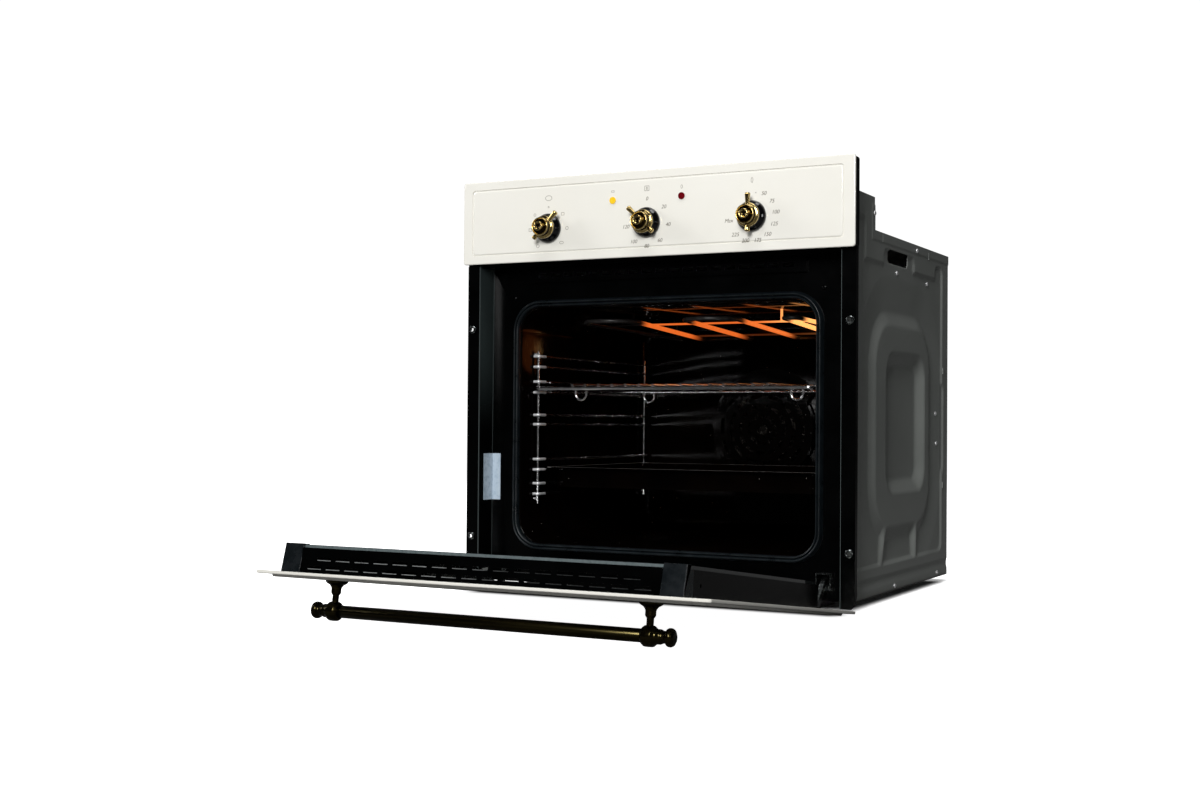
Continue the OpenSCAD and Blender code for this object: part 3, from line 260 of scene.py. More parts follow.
sheet_wall = 1.2
side_flange, level_flange = 18, 14
corner_round, back_round = 34, 14
liner_low, liner_high = extent("cavity")
cavity_half = liner_high[0] - side_flange
cavity_floor = liner_low[2] + level_flange
cavity_roof = liner_high[2] - level_flange
mouth_y = liner_low[1]
back_y = liner_high[1] - sheet_wall - back_round
mouth = [(cavity_half + 17, mouth_y), (cavity_half + 4, mouth_y), (cavity_half + 1.4, mouth_y),
         (cavity_half + 0.4, mouth_y + 0.6), (cavity_half, mouth_y + 1.8)]
back_edge = [(cavity_half - back_round * (1 - math.cos(a)), back_y + back_round * math.sin(a))
             for a in np.radians(np.linspace(0, 90, 7))]
liner_loops = [rounded(h, cavity_floor + cavity_half - h, cavity_roof - cavity_half + h,
                       max(corner_round + h - cavity_half, 6), y) for h, y in mouth + back_edge]
make_piece("cavity_liner", lace(liner_loops, last=True), cavity_enamel, "oven_body",
           ["cavity"], facing=(0, -1, 0), wall=1, sharp=50)


# Insulation
# A blanket of pale mineral wool wrapped round the liner and held by the sheets outside it.
# It only shows through the slots of the case.

def dress(material, *names):
    """Gives CAD nodes their finish."""
    for name in names:
        for slot in nodes[name].material_slots:
            slot.material = material


fibre_grain = grain_group("fibre_grain", stretch=(1, 0.15, 0.3))
mineral_wool = surface("mineral_wool", (0.62, 0.55, 0.36), (0.75, 0.70, 0.52), (0.85, 1.0), grain=fibre_grain,
                       patch=60, fine=900, relief=0.8)
dress(mineral_wool, "insulation")


# Heating elements
# Two bent tubular heaters with their ends in flanges in the rear wall. The upper one hangs under the roof
# on wires and glows from the middle to the back, the lower one lies dull in its channel under the floor.

def object_parts(tree):
    """The x, y and z of a point on the piece."""
    where = add(tree, "ShaderNodeTexCoord")
    parts = add(tree, "ShaderNodeSeparateXYZ")
    tree.links.new(where.outputs["Object"], parts.inputs[0])
    return list(parts.outputs)


def soft_step(tree, value, start, stop, low=0.0, high=1.0):
    """Goes softly from low to high while a value goes from start to stop."""
    node = add(tree, "ShaderNodeMapRange", interpolation_type="SMOOTHSTEP",
               values={1: start, 2: stop, 3: low, 4: high})
    tree.links.new(value, node.inputs[0])
    return node.outputs[0]


def glow(material, hottest, dimmer, strength, hot_from, hot_to, cold_side):
    """Red heat on the legs that run front to back, between two depths, but not on the left leg."""
    tree = material.node_tree
    x, y = object_parts(tree)[:2]
    begin = soft_step(tree, y, hot_from, hot_from + 0.03)
    finish = soft_step(tree, y, hot_to, hot_to - 0.06)
    along = product(tree, begin, finish)
    legs = add(tree, "ShaderNodeMapRange", values={1: cold_side, 2: cold_side + 0.02})
    tree.links.new(x, legs.inputs[0])
    hue = add(tree, "ShaderNodeMix", data_type="RGBA", values={6: (*dimmer, 1), 7: (*hottest, 1)})
    tree.links.new(soft_step(tree, x, 0.07, 0.16), hue.inputs[0])
    shade = add(tree, "ShaderNodeMix", data_type="RGBA", values={6: (0, 0, 0, 1)})
    tree.links.new(product(tree, along, legs.outputs[0]), shade.inputs[0])
    tree.links.new(hue.outputs[2], shade.inputs[7])
    shader = tree.nodes["Principled BSDF"]
    tree.links.new(shade.outputs[2], shader.inputs["Emission Color"])
    shader.inputs["Emission Strength"].default_value = strength


def copied(name, material, body, suffix, bend=None):
    """A copy of a CAD node as a piece of its own, with whole faces and a bend where one is asked for."""
    node = nodes[name]
    work = bmesh.new()
    work.from_mesh(node.data)
    work.transform(node.matrix_world)
    bmesh.ops.remove_doubles(work, verts=work.verts, dist=1e-5)
    if bend:
        for v in work.verts:
            v.co.z += bend(v.co)
    else:
        bmesh.ops.dissolve_limit(work, angle_limit=math.radians(0.5), verts=work.verts, edges=work.edges)
    mesh = bpy.data.meshes.new(name + suffix)
    work.to_mesh(mesh)
    work.free()
    mesh.shade_smooth()
    mesh.set_sharp_from_angle(angle=math.radians(30))
    mesh.materials.clear()
    mesh.materials.append(material)
    piece = bpy.data.objects.new(name + suffix, mesh)
    bpy.context.scene.collection.objects.link(piece)
    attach(piece, body)
    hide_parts(name)
    return piece


def sag(at):
    """The legs hang high in front and lower at the back, and run level into the rear wall."""
    depths, shifts = [135, 373, 450], [7.5, -6, 0]
    bend_height = 0.018
    below_roof = cavity_roof / 1000 - at.z
    shift = np.interp(at.y * 1000 + panel_face, depths, shifts) / 1000
    return shift * min(max(below_roof / bend_height, 0), 1)


hot_rod = surface("hot_rod", (0.012, 0.011, 0.010), (0.03, 0.028, 0.026), (0.3, 0.5), metal=0.2, patch=120,
                  fine=2500, relief=0.02)
glow(hot_rod, hottest=(0.95, 0.36, 0.10), dimmer=(0.46, 0.082, 0.012), strength=1.8,
     hot_from=-0.128, hot_to=0.10, cold_side=-0.105)
copied("grill_element", hot_rod, "oven_body", "_rods", sag)
dull_rod = surface("dull_rod", (0.10, 0.09, 0.085), (0.19, 0.17, 0.15), (0.4, 0.6), metal=0.7, patch=90,
                   fine=2500, relief=0.02)
dress(dull_rod, "bake_element")


# Convection fan set
# A pressed steel impeller on the shaft of a small motor that is bolted to the rear of the liner.
# An enamelled steel guard with arc slots is screwed over it from inside the cavity.

brushed_grain = grain_group("brushed_grain", stretch=(0.04, 1, 1))
plain_steel = surface("plain_steel", (0.42, 0.42, 0.43), (0.56, 0.56, 0.57), (0.24, 0.38), metal=1.0,
                      grain=brushed_grain, patch=90, fine=2200, relief=0.01)
dress(plain_steel, "fan_motor")
# The impeller's steel is coloured near black as painted shade, for it sits in the dark behind the guard.
fan_steel_painted_shade = surface("fan_steel_painted_shade", (0.020, 0.018, 0.016), (0.05, 0.045, 0.04), (0.2, 0.34), metal=0.9, patch=90,
                    fine=2200, relief=0.01)
dress(fan_steel_painted_shade, "convection_fan")
guard_enamel = surface("guard_enamel", (0.0004, 0.0003, 0.0003), (0.0012, 0.0008, 0.0006), (0.08, 0.14),
                       patch=40, fine=500, relief=0.03, Specular_IOR_Level=0.2)
speckle(guard_enamel, pale=(0.2, 0.2, 0.19), scale=230, size=0.14, share=0.04)
dress(guard_enamel, "fan_cover")


# Oven lamp
# A small bulb in a ceramic socket that is fixed behind the rear wall.
# A thick pressed glass lens is screwed over it from inside, and is taken off to change the bulb.

socket_ceramic = surface("socket_ceramic", (0.80, 0.77, 0.70), (0.88, 0.86, 0.80), (0.45, 0.6), patch=50,
                         fine=1800, relief=0.03)
dress(socket_ceramic, "lamp_holder")
lens_glass = surface("lens_glass", (0.90, 0.92, 0.90), (0.97, 0.97, 0.95), (0.04, 0.10), patch=50, fine=700,
                     relief=0.02, Transmission_Weight=0.95, IOR=1.5)
dress(lens_glass, "lamp_lens")
bulb_glass = surface("bulb_glass", (0.95, 0.75, 0.45), (1.0, 0.85, 0.60), (0.08, 0.16), patch=60, fine=1500,
                     relief=0.01, Emission_Color=(1.0, 0.55, 0.2, 1), Emission_Strength=6.0)
dress(bulb_glass, "lamp_bulb")


# Front frame
# One pressing of steel sheet: the two flanges that are screwed to the cabinet, the recess of the door and
# the plate behind the controls. It is painted a deep black satin, and holds the outlet grille and the hinges.

def softened(name, material, body, width=0.3):
    """A copy with its edges a little rounded, as a press or a mould leaves them."""
    piece = copied(name, material, body, "_sheet")
    edge = piece.modifiers.new("edge", "BEVEL")
    edge.width = width / 1000
    edge.segments = 2
    edge.limit_method = "ANGLE"
    edge.angle_limit = math.radians(40)
    edge.use_clamp_overlap = True
    edge.harden_normals = True
    return piece


def near(tree, value, target, reach):
    """1 where a value lies within reach of a target."""
    node = add(tree, "ShaderNodeMath", operation="COMPARE", values={1: target, 2: reach})
    tree.links.new(value, node.inputs[0])
    return node.outputs[0]


def painted_fold_highlights(material, wall_sheen_tone, fold_highlight_tone, wall_x, fold_ys, fade_from, fade_to):
    """Painted sheen on the upright walls of the recess, lighter towards the top, and painted highlights along
    their two folds.
    """
    tree = material.node_tree
    x, y, z = object_parts(tree)
    off_centre = add(tree, "ShaderNodeMath", operation="ABSOLUTE")
    tree.links.new(x, off_centre.inputs[0])
    on_wall = near(tree, off_centre.outputs[0], wall_x, 0.0006)
    tint(material, product(tree, soft_step(tree, z, fade_from, fade_to), on_wall), wall_sheen_tone)
    for fold_y in fold_ys:
        tint(material, product(tree, near(tree, y, fold_y, 0.0011), on_wall), fold_highlight_tone)


black_satin = {"shade": (0.0002, 0.0003, 0.0003), "tone": (0.0005, 0.0006, 0.0007), "rough": (0.16, 0.24),
               "patch": 20, "fine": 900, "relief": 0.01, "Specular_IOR_Level": 0.1}
frame_black = surface("frame_black", **black_satin)
# The frame's own copy of the black satin carries a painted sheen on the recess walls and painted highlights
# on their folds.
frame_paint_with_highlights = surface("frame_paint_with_highlights", **black_satin)
painted_fold_highlights(frame_paint_with_highlights, wall_sheen_tone=(0.030, 0.040, 0.040), fold_highlight_tone=(0.07, 0.085, 0.085), wall_x=0.2756,
            fold_ys=(-0.2551, -0.2181), fade_from=0.22, fade_to=0.37)
softened("front_frame", frame_paint_with_highlights, "oven_body", 0.5)
softened("air_outlet_grille", frame_black, "oven_body", 0.25)
dark_zinc = surface("dark_zinc", (0.09, 0.10, 0.10), (0.24, 0.26, 0.26), (0.16, 0.3), metal=1.0, patch=200,
                    fine=3000, relief=0.01)
softened("hinge_receiver_left", dark_zinc, "oven_body", 0.25)
softened("hinge_receiver_right", dark_zinc, "oven_body", 0.25)
dress(dark_zinc, "fixing_ferrules")
dress(dark_zinc, "hinge_arm_left", "hinge_arm_right", "door_hinges")


# Rating plate
# A blank foil label with an adhesive back and a clear lacquer, and no print on it.
# It is pressed down over the fold between the recess wall and the recessed face.

label_foil = surface("label_foil", (0.40, 0.50, 0.60), (0.52, 0.61, 0.69), (0.22, 0.36), patch=120, fine=900,
                     relief=0.01, Coat_Weight=0.5, Coat_Roughness=0.12)
dress(label_foil, "rating_label")


# Gasket
# An extruded silicone seal with three lips that the shut door presses flat.
# It is clipped round the mouth of the cavity, over the liner's flange.

lips = [(0, 50), (0, 46.5), (0.4, 44.2), (1.4, 42.6), (2.6, 42.4), (3.4, 43.4), (4.0, 45.0), (4.6, 43.2),
        (5.2, 41.8), (6.2, 41.1), (7.3, 41.4), (8.2, 43.0), (8.7, 45.2), (9.4, 46.6), (10, 48), (10, 50)]
seal_half, seal_bottom, seal_top = cavity_half + 1, cavity_floor - 1, cavity_roof + 1
lip_loops = [rounded(seal_half + k, seal_bottom - k, seal_top + k, corner_round + k, y, n=14)
             for k, y in lips]
seal_silicone = surface("seal_silicone", (0.0030, 0.0045, 0.0055), (0.006, 0.009, 0.011), (0.26, 0.4),
                        patch=70, fine=1600, relief=0.04, Specular_IOR_Level=0.22)
make_piece("gasket_lips", lace(lip_loops + [lip_loops[0]]), seal_silicone, "oven_body",
           ["cavity_gasket"], sharp=60)


# Outer sheets
# Base pan, rear sheet, motor dome, top sheet and the cover over the switches: bent from hot-dip galvanised
# steel, so the zinc shows its flakes. They are screwed to the side panels and to each other.

zinc_flakes = grain_group("zinc_flakes", spangle=True)
galvanised = surface("galvanised", (0.42, 0.43, 0.44), (0.50, 0.51, 0.52), (0.30, 0.38), metal=0.85,
                     grain=zinc_flakes, patch=130, fine=1800, relief=0.012)
dress(galvanised, "base_pan", "top_cover", "control_housing_cover", "rear_cover", "rear_motor_cover",
      "cooling_duct")
dress(plain_steel, "blower_wheel", "blower_motor")


# Switches and inlet
# The function switch and the timer have cream moulded bodies, the thermostat a steel one with its feeler
# tube. All three sit behind the panel with a neck through the frame. The black inlet box with the
# terminals sits in the rear sheet.

switch_moulding = surface("switch_moulding", (0.66, 0.61, 0.48), (0.76, 0.72, 0.60), (0.4, 0.55), patch=50,
                          fine=1600, relief=0.04)
dress(switch_moulding, "function_switch", "timer")
dress(plain_steel, "thermostat", "function_shaft", "timer_shaft", "thermostat_shaft")
black_moulding = surface("black_moulding", (0.012, 0.012, 0.013), (0.024, 0.024, 0.026), (0.36, 0.5),
                         patch=60, fine=1400, relief=0.05)
dress(black_moulding, "terminal_block")


# Side panels
# Pressed steel panels: a sunk field with a raised ring and a sunk middle for stiffness, two ribs down to
# the lower rim, a grip slot under the top flange. Powder-coated in a satin grey.

case_low, case_high = extent("side_panel_right")
case_half = case_high[0]
housing_low, housing_high = extent("control_housing_cover")


def ramp(d, width):
    """1 inside, 0 outside, with a soft slope of that width centred on the outline."""
    t = np.clip(0.5 - d / width, 0, 1)
    return 0.92 * t + 0.08 * t * t * (3 - 2 * t)


def outline(y, z, y0, y1, z0, z1, r):
    """Distance to a rounded rectangle, negative inside."""
    dy = np.abs(y - (y0 + y1) / 2) - (y1 - y0) / 2 + r
    dz = np.abs(z - (z0 + z1) / 2) - (z1 - z0) / 2 + r
    return np.hypot(np.maximum(dy, 0), np.maximum(dz, 0)) + np.minimum(np.maximum(dy, dz), 0) - r


def rib(y, z, a, b, half):
    """Distance to a straight bar between two points."""
    a, b = np.array(a, float), np.array(b, float)
    t = np.clip(((y - a[0]) * (b - a)[0] + (z - a[1]) * (b - a)[1]) / ((b - a) @ (b - a)), 0, 1)
    return np.hypot(y - a[0] - t * (b - a)[0], z - a[1] - t * (b - a)[1]) - half


# Outlines on the side: front, back, bottom, top and corner radius.
sunk_fields = [(-60, 481, 52, 469, 14), (380, 489, 171, 310, 12), (-60, 104, 380, 523, 10),
               (186, 329, 380, 490, 10), (443, 481, 380, 489, 12)]
raised_ring = (152, 408, 104, 384, 60)
sunk_middle = (195, 389, 146, 350, 38)
foot_field = (196, 340, 52, 112, 8)
lower_groove = (-60, 600, 24, 34, 3)
grip_slot = (206, 303, 473, 492, 9)
field_front = 56
rib_half = 5


def pressed(y, z):
    """How far the sheet stands out from the plane of its rim, in millimetres."""
    field = np.minimum.reduce([outline(y, z, *place) for place in sunk_fields])
    field = np.maximum(field, field_front - y)
    near_ring = outline(y, z, *raised_ring)
    front_rib = rib(y, z, (204, 118), (176, 44), rib_half)
    back_rib = rib(y, z, (346, 116), (344, 44), rib_half)
    ribs = np.minimum(front_rib, back_rib)
    depth = 2.4 + 5.0 * ramp(near_ring - 34, 70)
    depth = (depth + 1.6 * ramp(outline(y, z, *foot_field), 12)) * ramp(field, 5)
    depth = depth * (1 - ramp(near_ring - 11, 18)) * (1 - ramp(ribs - 1, 8))
    depth = depth + 11 * ramp(outline(y, z, *sunk_middle) + 11, 19)
    depth = depth + 1.3 * ramp(outline(y, z, *lower_groove), 7)
    shoulder = 0.8 * ramp(498 - z, 2.5) * ramp(z - 546, 2.5) * ramp(130 - y, 3)
    return shoulder - depth


def grid_lines(start, stop, step, close, fine):
    """Even grid lines with closer ones in the zones where the pressing is crisp."""
    marks = [start, stop]
    at = start
    while at < stop:
        at += fine if any(a <= at <= b for a, b in close) else step
        marks.append(min(at, stop))
    return np.unique(np.round(marks, 3))


def joined(*shapes):
    """Several shapes as one."""
    verts, faces = [], []
    for more, more_faces in shapes:
        start = len(verts)
        verts += more
        faces += [tuple(start + i for i in f) for f in more_faces]
    return verts, faces


def side_sheet(side):
    """The pressed sheet as a height field, cut to the outline of the case and to its slot."""
    step, fine = 3.4, 1.1
    crisp_ys = [(98, 108), (126, 134), (182, 190), (472, 492)]
    crisp_zs = [(18, 40), (46, 58), (464, 500), (542, 552)]
    ys = grid_lines(case_low[1], case_high[1], step, crisp_ys, fine)
    zs = grid_lines(case_low[2], case_high[2], step, crisp_zs, fine)
    ys = np.unique(np.append(ys, housing_high[1]))
    zs = np.unique(np.append(zs, housing_low[2]))
    y, z = np.meshgrid(ys, zs, indexing="ij")
    slot = outline(y, z, *grip_slot)
    gy = outline(y + 0.01, z, *grip_slot) - slot
    gz = outline(y, z + 0.01, *grip_slot) - slot
    size = np.maximum(np.hypot(gy, gz), 1e-9)
    snap = np.abs(slot) < 0.9
    sy = y - np.where(snap, slot * gy / size, 0)
    sz = z - np.where(snap, slot * gz / size, 0)
    x = case_half + pressed(sy, sz)
    verts = list(zip((side * x).ravel(), sy.ravel(), sz.ravel()))
    faces = []
    m = len(zs)
    for i in range(len(ys) - 1):
        for k in range(m - 1):
            cy, cz = (ys[i] + ys[i + 1]) / 2, (zs[k] + zs[k + 1]) / 2
            behind_housing = cy > housing_high[1] and cz > housing_low[2]
            if behind_housing or outline(cy, cz, *grip_slot) < 0:
                continue
            faces.append((i * m + k, (i + 1) * m + k, (i + 1) * m + k + 1, i * m + k + 1))
    used = sorted({i for f in faces for i in f})
    new = {old: i for i, old in enumerate(used)}
    return [verts[i] for i in used], [tuple(new[i] for i in f) for f in faces]


case_grey = surface("case_grey", (0.215, 0.228, 0.216), (0.240, 0.253, 0.240), (0.34, 0.44), patch=9,
                    fine=1300, relief=0.02, Specular_IOR_Level=0.4)
tab_spots = ((177, 504), (404, 501), (486, 330), (486, 152))
tab_half_width, tab_half_length, tab_height, tab_root = 1.5, 5, 1.5, 0.4
for side, word in ((1, "right"), (-1, "left")):
    make_piece("pressed_side_" + word, side_sheet(side), case_grey, "oven_body",
               ["side_panel_" + word], facing=(side, 0, 0), wall=sheet_wall, sharp=60)
    tabs = []
    for y, z in tab_spots:
        corners = [(y - tab_half_width, z - tab_half_length), (y + tab_half_width, z - tab_half_length),
                   (y + tab_half_width, z + tab_half_length), (y - tab_half_width, z + tab_half_length)]
        tab_loops = [[(side * (case_half - tab_root + k), a, b) for a, b in corners]
                     for k in (0, tab_height)]
        tabs.append(lace(tab_loops, first=True, last=True))
    make_piece("hooked_tabs_" + word, joined(*tabs), case_grey, "oven_body")


# Screws
# Pan-head sheet-metal screws with a cross recess, driven through the case and the frame.
# Those in the case are plated with bright zinc, those in the frame are painted black together with it.

def lathe(profile, centre, axis, n=64):
    """Turns a profile of (radius, height) about an axis through the centre: x, -x, -y or z."""
    loops = []
    for r, h in profile:
        ring = []
        for i in range(n):
            a = 2 * math.pi * i / n
            u, v = r * math.cos(a), r * math.sin(a)
            ring.append({"x": (h, u, v), "-x": (-h, u, v), "-y": (u, -h, v), "z": (u, v, h)}[axis])
        loops.append([(centre[0] + p[0], centre[1] + p[1], centre[2] + p[2]) for p in ring])
    return lace(loops, first=True, last=True)


def eased(profile, r, steps=3):
    """Rounds the corners of a profile."""
    out = [profile[0]]
    for a, b, c in zip(profile, profile[1:], profile[2:]):
        a, b, c = Vector(a), Vector(b), Vector(c)
        d1, d2 = min(r, (a - b).length * 0.45), min(r, (c - b).length * 0.45)
        p, q = b + (a - b).normalized() * d1, b + (c - b).normalized() * d2
        for i in range(steps + 1):
            t = i / steps
            out.append(tuple((1 - t) ** 2 * p + 2 * t * (1 - t) * b + t * t * q))
    return out + [profile[-1]]


def screw_head():
    """One head at the origin, facing +Z, in metres, with its recess cut."""
    profile = eased([(0.01, 0), (3.5, 0), (3.5, 0.6), (3.1, 1.3), (2.0, 1.9), (0.01, 2.2)], 0.6)
    verts, faces = lathe(profile, (0, 0, 0), "z", 20)
    mesh = bpy.data.meshes.new("screw_head")
    mesh.from_pydata([(x / 1000, y / 1000, z / 1000) for x, y, z in verts], [], faces)
    head = bpy.data.objects.new("screw_head", mesh)
    bpy.context.scene.collection.objects.link(head)
    cut = bmesh.new()
    for arm in ((3.6, 0.8, 1.6, 1), (0.8, 3.6, 1.6, 1)):
        bmesh.ops.create_cube(cut, size=0.001, matrix=Matrix.Diagonal(arm))
    bmesh.ops.translate(cut, verts=cut.verts, vec=(0, 0, 0.0022))
    cross_mesh = bpy.data.meshes.new("cross")
    cut.to_mesh(cross_mesh)
    cut.free()
    cross = bpy.data.objects.new("cross", cross_mesh)
    bpy.context.scene.collection.objects.link(cross)
    recess = head.modifiers.new("recess", "BOOLEAN")
    recess.operation = "DIFFERENCE"
    recess.object = cross
    recess.use_self = True
    done = bpy.data.meshes.new_from_object(head.evaluated_get(bpy.context.evaluated_depsgraph_get()))
    head.modifiers.clear()
    head.data = done
    bpy.data.objects.remove(cross)
    return head


def screw_tree():
    """Geometry nodes that set a screw head on every point, facing along the point's own direction."""
    tree = bpy.data.node_groups.new("screw_rows", "GeometryNodeTree")
    for label, kind in (("Geometry", "NodeSocketGeometry"), ("Head", "NodeSocketObject"),
                        ("Head Size", "NodeSocketFloat"), ("Finish", "NodeSocketMaterial")):
        tree.interface.new_socket(label, in_out="INPUT", socket_type=kind)
    tree.interface.new_socket("Geometry", in_out="OUTPUT", socket_type="NodeSocketGeometry")
    link = tree.links.new
    start, end = add(tree, "NodeGroupInput"), add(tree, "NodeGroupOutput")
    head = add(tree, "GeometryNodeObjectInfo")
    way = add(tree, "GeometryNodeInputNamedAttribute", data_type="FLOAT_VECTOR", values={"Name": "facing"})
    turn = add(tree, "FunctionNodeAlignRotationToVector", axis="Z")
    heads = add(tree, "GeometryNodeInstanceOnPoints")
    real = add(tree, "GeometryNodeRealizeInstances")
    paint = add(tree, "GeometryNodeSetMaterial")
    link(start.outputs["Head"], head.inputs[0])
    link(way.outputs[0], turn.inputs["Vector"])
    link(start.outputs["Geometry"], heads.inputs["Points"])
    link(head.outputs["Geometry"], heads.inputs["Instance"])
    link(turn.outputs[0], heads.inputs["Rotation"])
    link(start.outputs["Head Size"], heads.inputs["Scale"])
    link(heads.outputs[0], real.inputs[0])
    link(real.outputs[0], paint.inputs["Geometry"])
    link(start.outputs["Finish"], paint.inputs["Material"])
    link(paint.outputs[0], end.inputs[0])
    return tree


def grow(name, tree, points, facing, values):
    """Runs a tree on loose points and returns the plain mesh."""
    mesh = bpy.data.meshes.new(name)
    mesh.from_pydata([to_frame(p) for p in points], [], [])
    way = mesh.attributes.new("facing", "FLOAT_VECTOR", "POINT")
    way.data.foreach_set("vector", np.ravel(facing).astype(float))
    seed = bpy.data.objects.new(name, mesh)
    bpy.context.scene.collection.objects.link(seed)
    step = seed.modifiers.new("grow", "NODES")
    step.node_group = tree
    for item in tree.interface.items_tree:
        if item.name in values:
            step[item.identifier] = values[item.name]
    grown = bpy.data.meshes.new_from_object(seed.evaluated_get(bpy.context.evaluated_depsgraph_get()))
    seed.modifiers.clear()
    seed.data = grown
    return seed


bright_zinc = surface("bright_zinc", (0.78, 0.78, 0.79), (0.92, 0.92, 0.93), (0.24, 0.38), metal=0.6,
                      patch=200, fine=3000, relief=0.01)
sheet_screws = [(138, 534), (250, 462), (239, 17), (457, 18), (340, 503), (403, 459), (457, 263), (461, 217)]
spots, ways = [], []
for side in (1, -1):
    for y, z in sheet_screws:
        spots.append((side * (case_half + float(pressed(np.array(y), np.array(z)))), y, z))
        ways.append((side, 0, 0))
dome_low, dome_high = extent("rear_motor_cover")
from_edge = 8
for x in (dome_low[0] + from_edge, dome_high[0] - from_edge):
    for z in (dome_low[2] + from_edge, dome_high[2] - from_edge):
        spots.append((x, dome_low[1] + sheet_wall, z))
        ways.append((0, 1, 0))
front_spots = [(-239, 50, 427), (239, 50, 427), (-75, 24, 470), (75, 24, 470)]
front_ways = [(0, -1, 0), (0, -1, 0), (0, 0, -1), (0, 0, -1)]
head = screw_head()
rows = screw_tree()
for name, at, way, finish in (("case_screw_heads", spots, ways, bright_zinc),
                              ("frame_screw_heads", front_spots, front_ways, frame_black)):
    screws = grow(name, rows, at, way, {"Head": head, "Head Size": 1.0, "Finish": finish})
    screws.data.shade_smooth()
    screws.data.set_sharp_from_angle(angle=math.radians(35))
    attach(screws, "oven_body")
    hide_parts("case_screws")
bpy.data.objects.remove(head)


# Control panel
# A steel fascia, enamelled warm white, with a fine engraved border. It snaps on to its black bracket.
# The dial figures and small signs are fired on in a grey-brown ink.

softened("panel_bracket", frame_black, "oven_body", 0.4)
bracket_low, bracket_high = extent("panel_bracket")
lower_fold = [rounded(bracket_high[0] - 0.5, bracket_low[2] - 2.3, bracket_low[2] + 1.7, 0.4, y, n=2)
              for y in (bracket_high[1] - 7.4, bracket_high[1] - 0.2)]
make_piece("bracket_lower_fold", lace(lower_fold, first=True, last=True), frame_black, "oven_body")

warm_white = surface("warm_white", (0.80, 0.785, 0.72), (0.835, 0.82, 0.76), (0.16, 0.26), patch=5, fine=350,
                     relief=0.03, Coat_Weight=0.5, Coat_Roughness=0.06)
panel_low, panel_high = extent("control_panel")
panel_half = panel_high[0]
border_narrower = 2.8
rim = [(297.5, 2.5, 4), (297.5, 1.2, 4), (297.3, 0.6, 3.8), (296.8, 0.15, 3.4), (296.1, 0, 3), (295, 0, 3)]
border = [(283.8, 0, 5.4), (282.8, 0, 5), (282.5, 1.5, 4.9), (281.6, 1.6, 4.5), (280.2, 0, 3.8),
          (279.2, 0, 3.4)]
panel_loops = []
for outlines, shift in ((rim, 0), (border, border_narrower)):
    for h, y, r in outlines:
        inset = panel_half - shift - h
        panel_loops.append(rounded(h, panel_low[2] + inset, panel_high[2] - inset, r, y))
make_piece("fascia", lace(panel_loops, first=True, last=True), warm_white, "oven_body",
           ["control_panel"], sharp=50)

ink = surface("dial_ink", (0.06, 0.047, 0.03), (0.11, 0.088, 0.06), (0.35, 0.5), patch=400, fine=2500,
              relief=0.01)


def middle(name):
    """The x and z of the middle of a node, seen from the front."""
    low, high = extent(name)
    return (low[0] + high[0]) / 2, (low[2] + high[2]) / 2


function_x, knob_z = middle("function_shaft")
timer_x = middle("timer_shaft")[0]
thermostat_x = middle("thermostat_shaft")[0]
lamp_x = middle("heating_lamp")[0]


def figures(items):
    """Raised print on the panel: (text, x, z, size)."""
    verts, faces = [], []
    for text, x, z, size in items:
        curve = bpy.data.curves.new("figure", "FONT")
        curve.body = text
        curve.size = size
        curve.shear = 0.25
        curve.extrude = 0.02
        curve.align_x = "CENTER"
        curve.align_y = "CENTER"
        word = bpy.data.objects.new("figure", curve)
        bpy.context.scene.collection.objects.link(word)
        flat = bpy.data.meshes.new_from_object(word.evaluated_get(bpy.context.evaluated_depsgraph_get()))
        start = len(verts)
        verts += [(x + v.co.x, -0.03 - v.co.z, z + v.co.y) for v in flat.vertices]
        faces += [tuple(start + i for i in f.vertices) for f in flat.polygons]
        bpy.data.objects.remove(word)
    return verts, faces


def ring_sign(x, z, w, h, t, n=28, square=False):
    """A thin closed outline on the panel."""
    def point(a, k):
        c, s = math.cos(a), math.sin(a)
        m = max(abs(c), abs(s)) if square else 1
        return x + (w / 2 - k) * c / m, z + (h / 2 - k) * s / m
    out, inn = [[point(2 * math.pi * (i + 0.5) / n, k) for i in range(n)] for k in (0, t)]
    return lace([[(u, y, v) for u, v in ring]
                 for ring, y in ((out, -0.05), (inn, -0.05), (inn, 0), (out, 0), (out, -0.05))])


def around(x, radius, angle):
    """A place on the dial, clockwise from the top."""
    return x + radius * math.sin(math.radians(angle)), knob_z + radius * math.cos(math.radians(angle))


minutes = (("0", 0), ("20", 52), ("40", 98), ("60", 142), ("80", 180), ("100", 218), ("120", 262))
degrees = (("50", 30), ("75", 57), ("100", 84), ("125", 111), ("150", 139), ("175", 166), ("200", 196),
           ("225", 225), ("Max", 262))
figure_size = 7.2
minutes_radius, degrees_radius, signs_radius = 32.5, 33.5, 30
marks = [(text, *around(timer_x, minutes_radius, angle), figure_size) for text, angle in minutes]
marks += [(text, *around(thermostat_x, degrees_radius, angle), figure_size) for text, angle in degrees]
function_signs = ((0, 2.4, 2.4, False), (50, 5, 4, True), (92, 5, 5, False), (135, 7, 4, False),
                  (215, 5, 5, False), (268, 4.5, 4.5, True), (312, 4, 4, False))
signs = [ring_sign(*around(function_x, signs_radius, angle), w, h, 0.45, square=square)
         for angle, w, h, square in function_signs]
signs += [ring_sign(function_x, 563, 11, 7.5, 0.5),
          ring_sign(timer_x, 567, 7, 7, 0.5, square=True),
          ring_sign(timer_x, 567, 2, 4, 0.5),
          ring_sign(thermostat_x, 568, 3.2, 7, 0.5),
          ring_sign(-lamp_x, 566, 4.5, 2.5, 0.4, square=True),
          ring_sign(lamp_x, 566, 3, 5, 0.4),
          ring_sign(thermostat_x + 5.5, 551, 1.3, 1.3, 0.64)]
make_piece("dial_print", joined(figures(marks), *signs), ink, "oven_body", sharp=30)

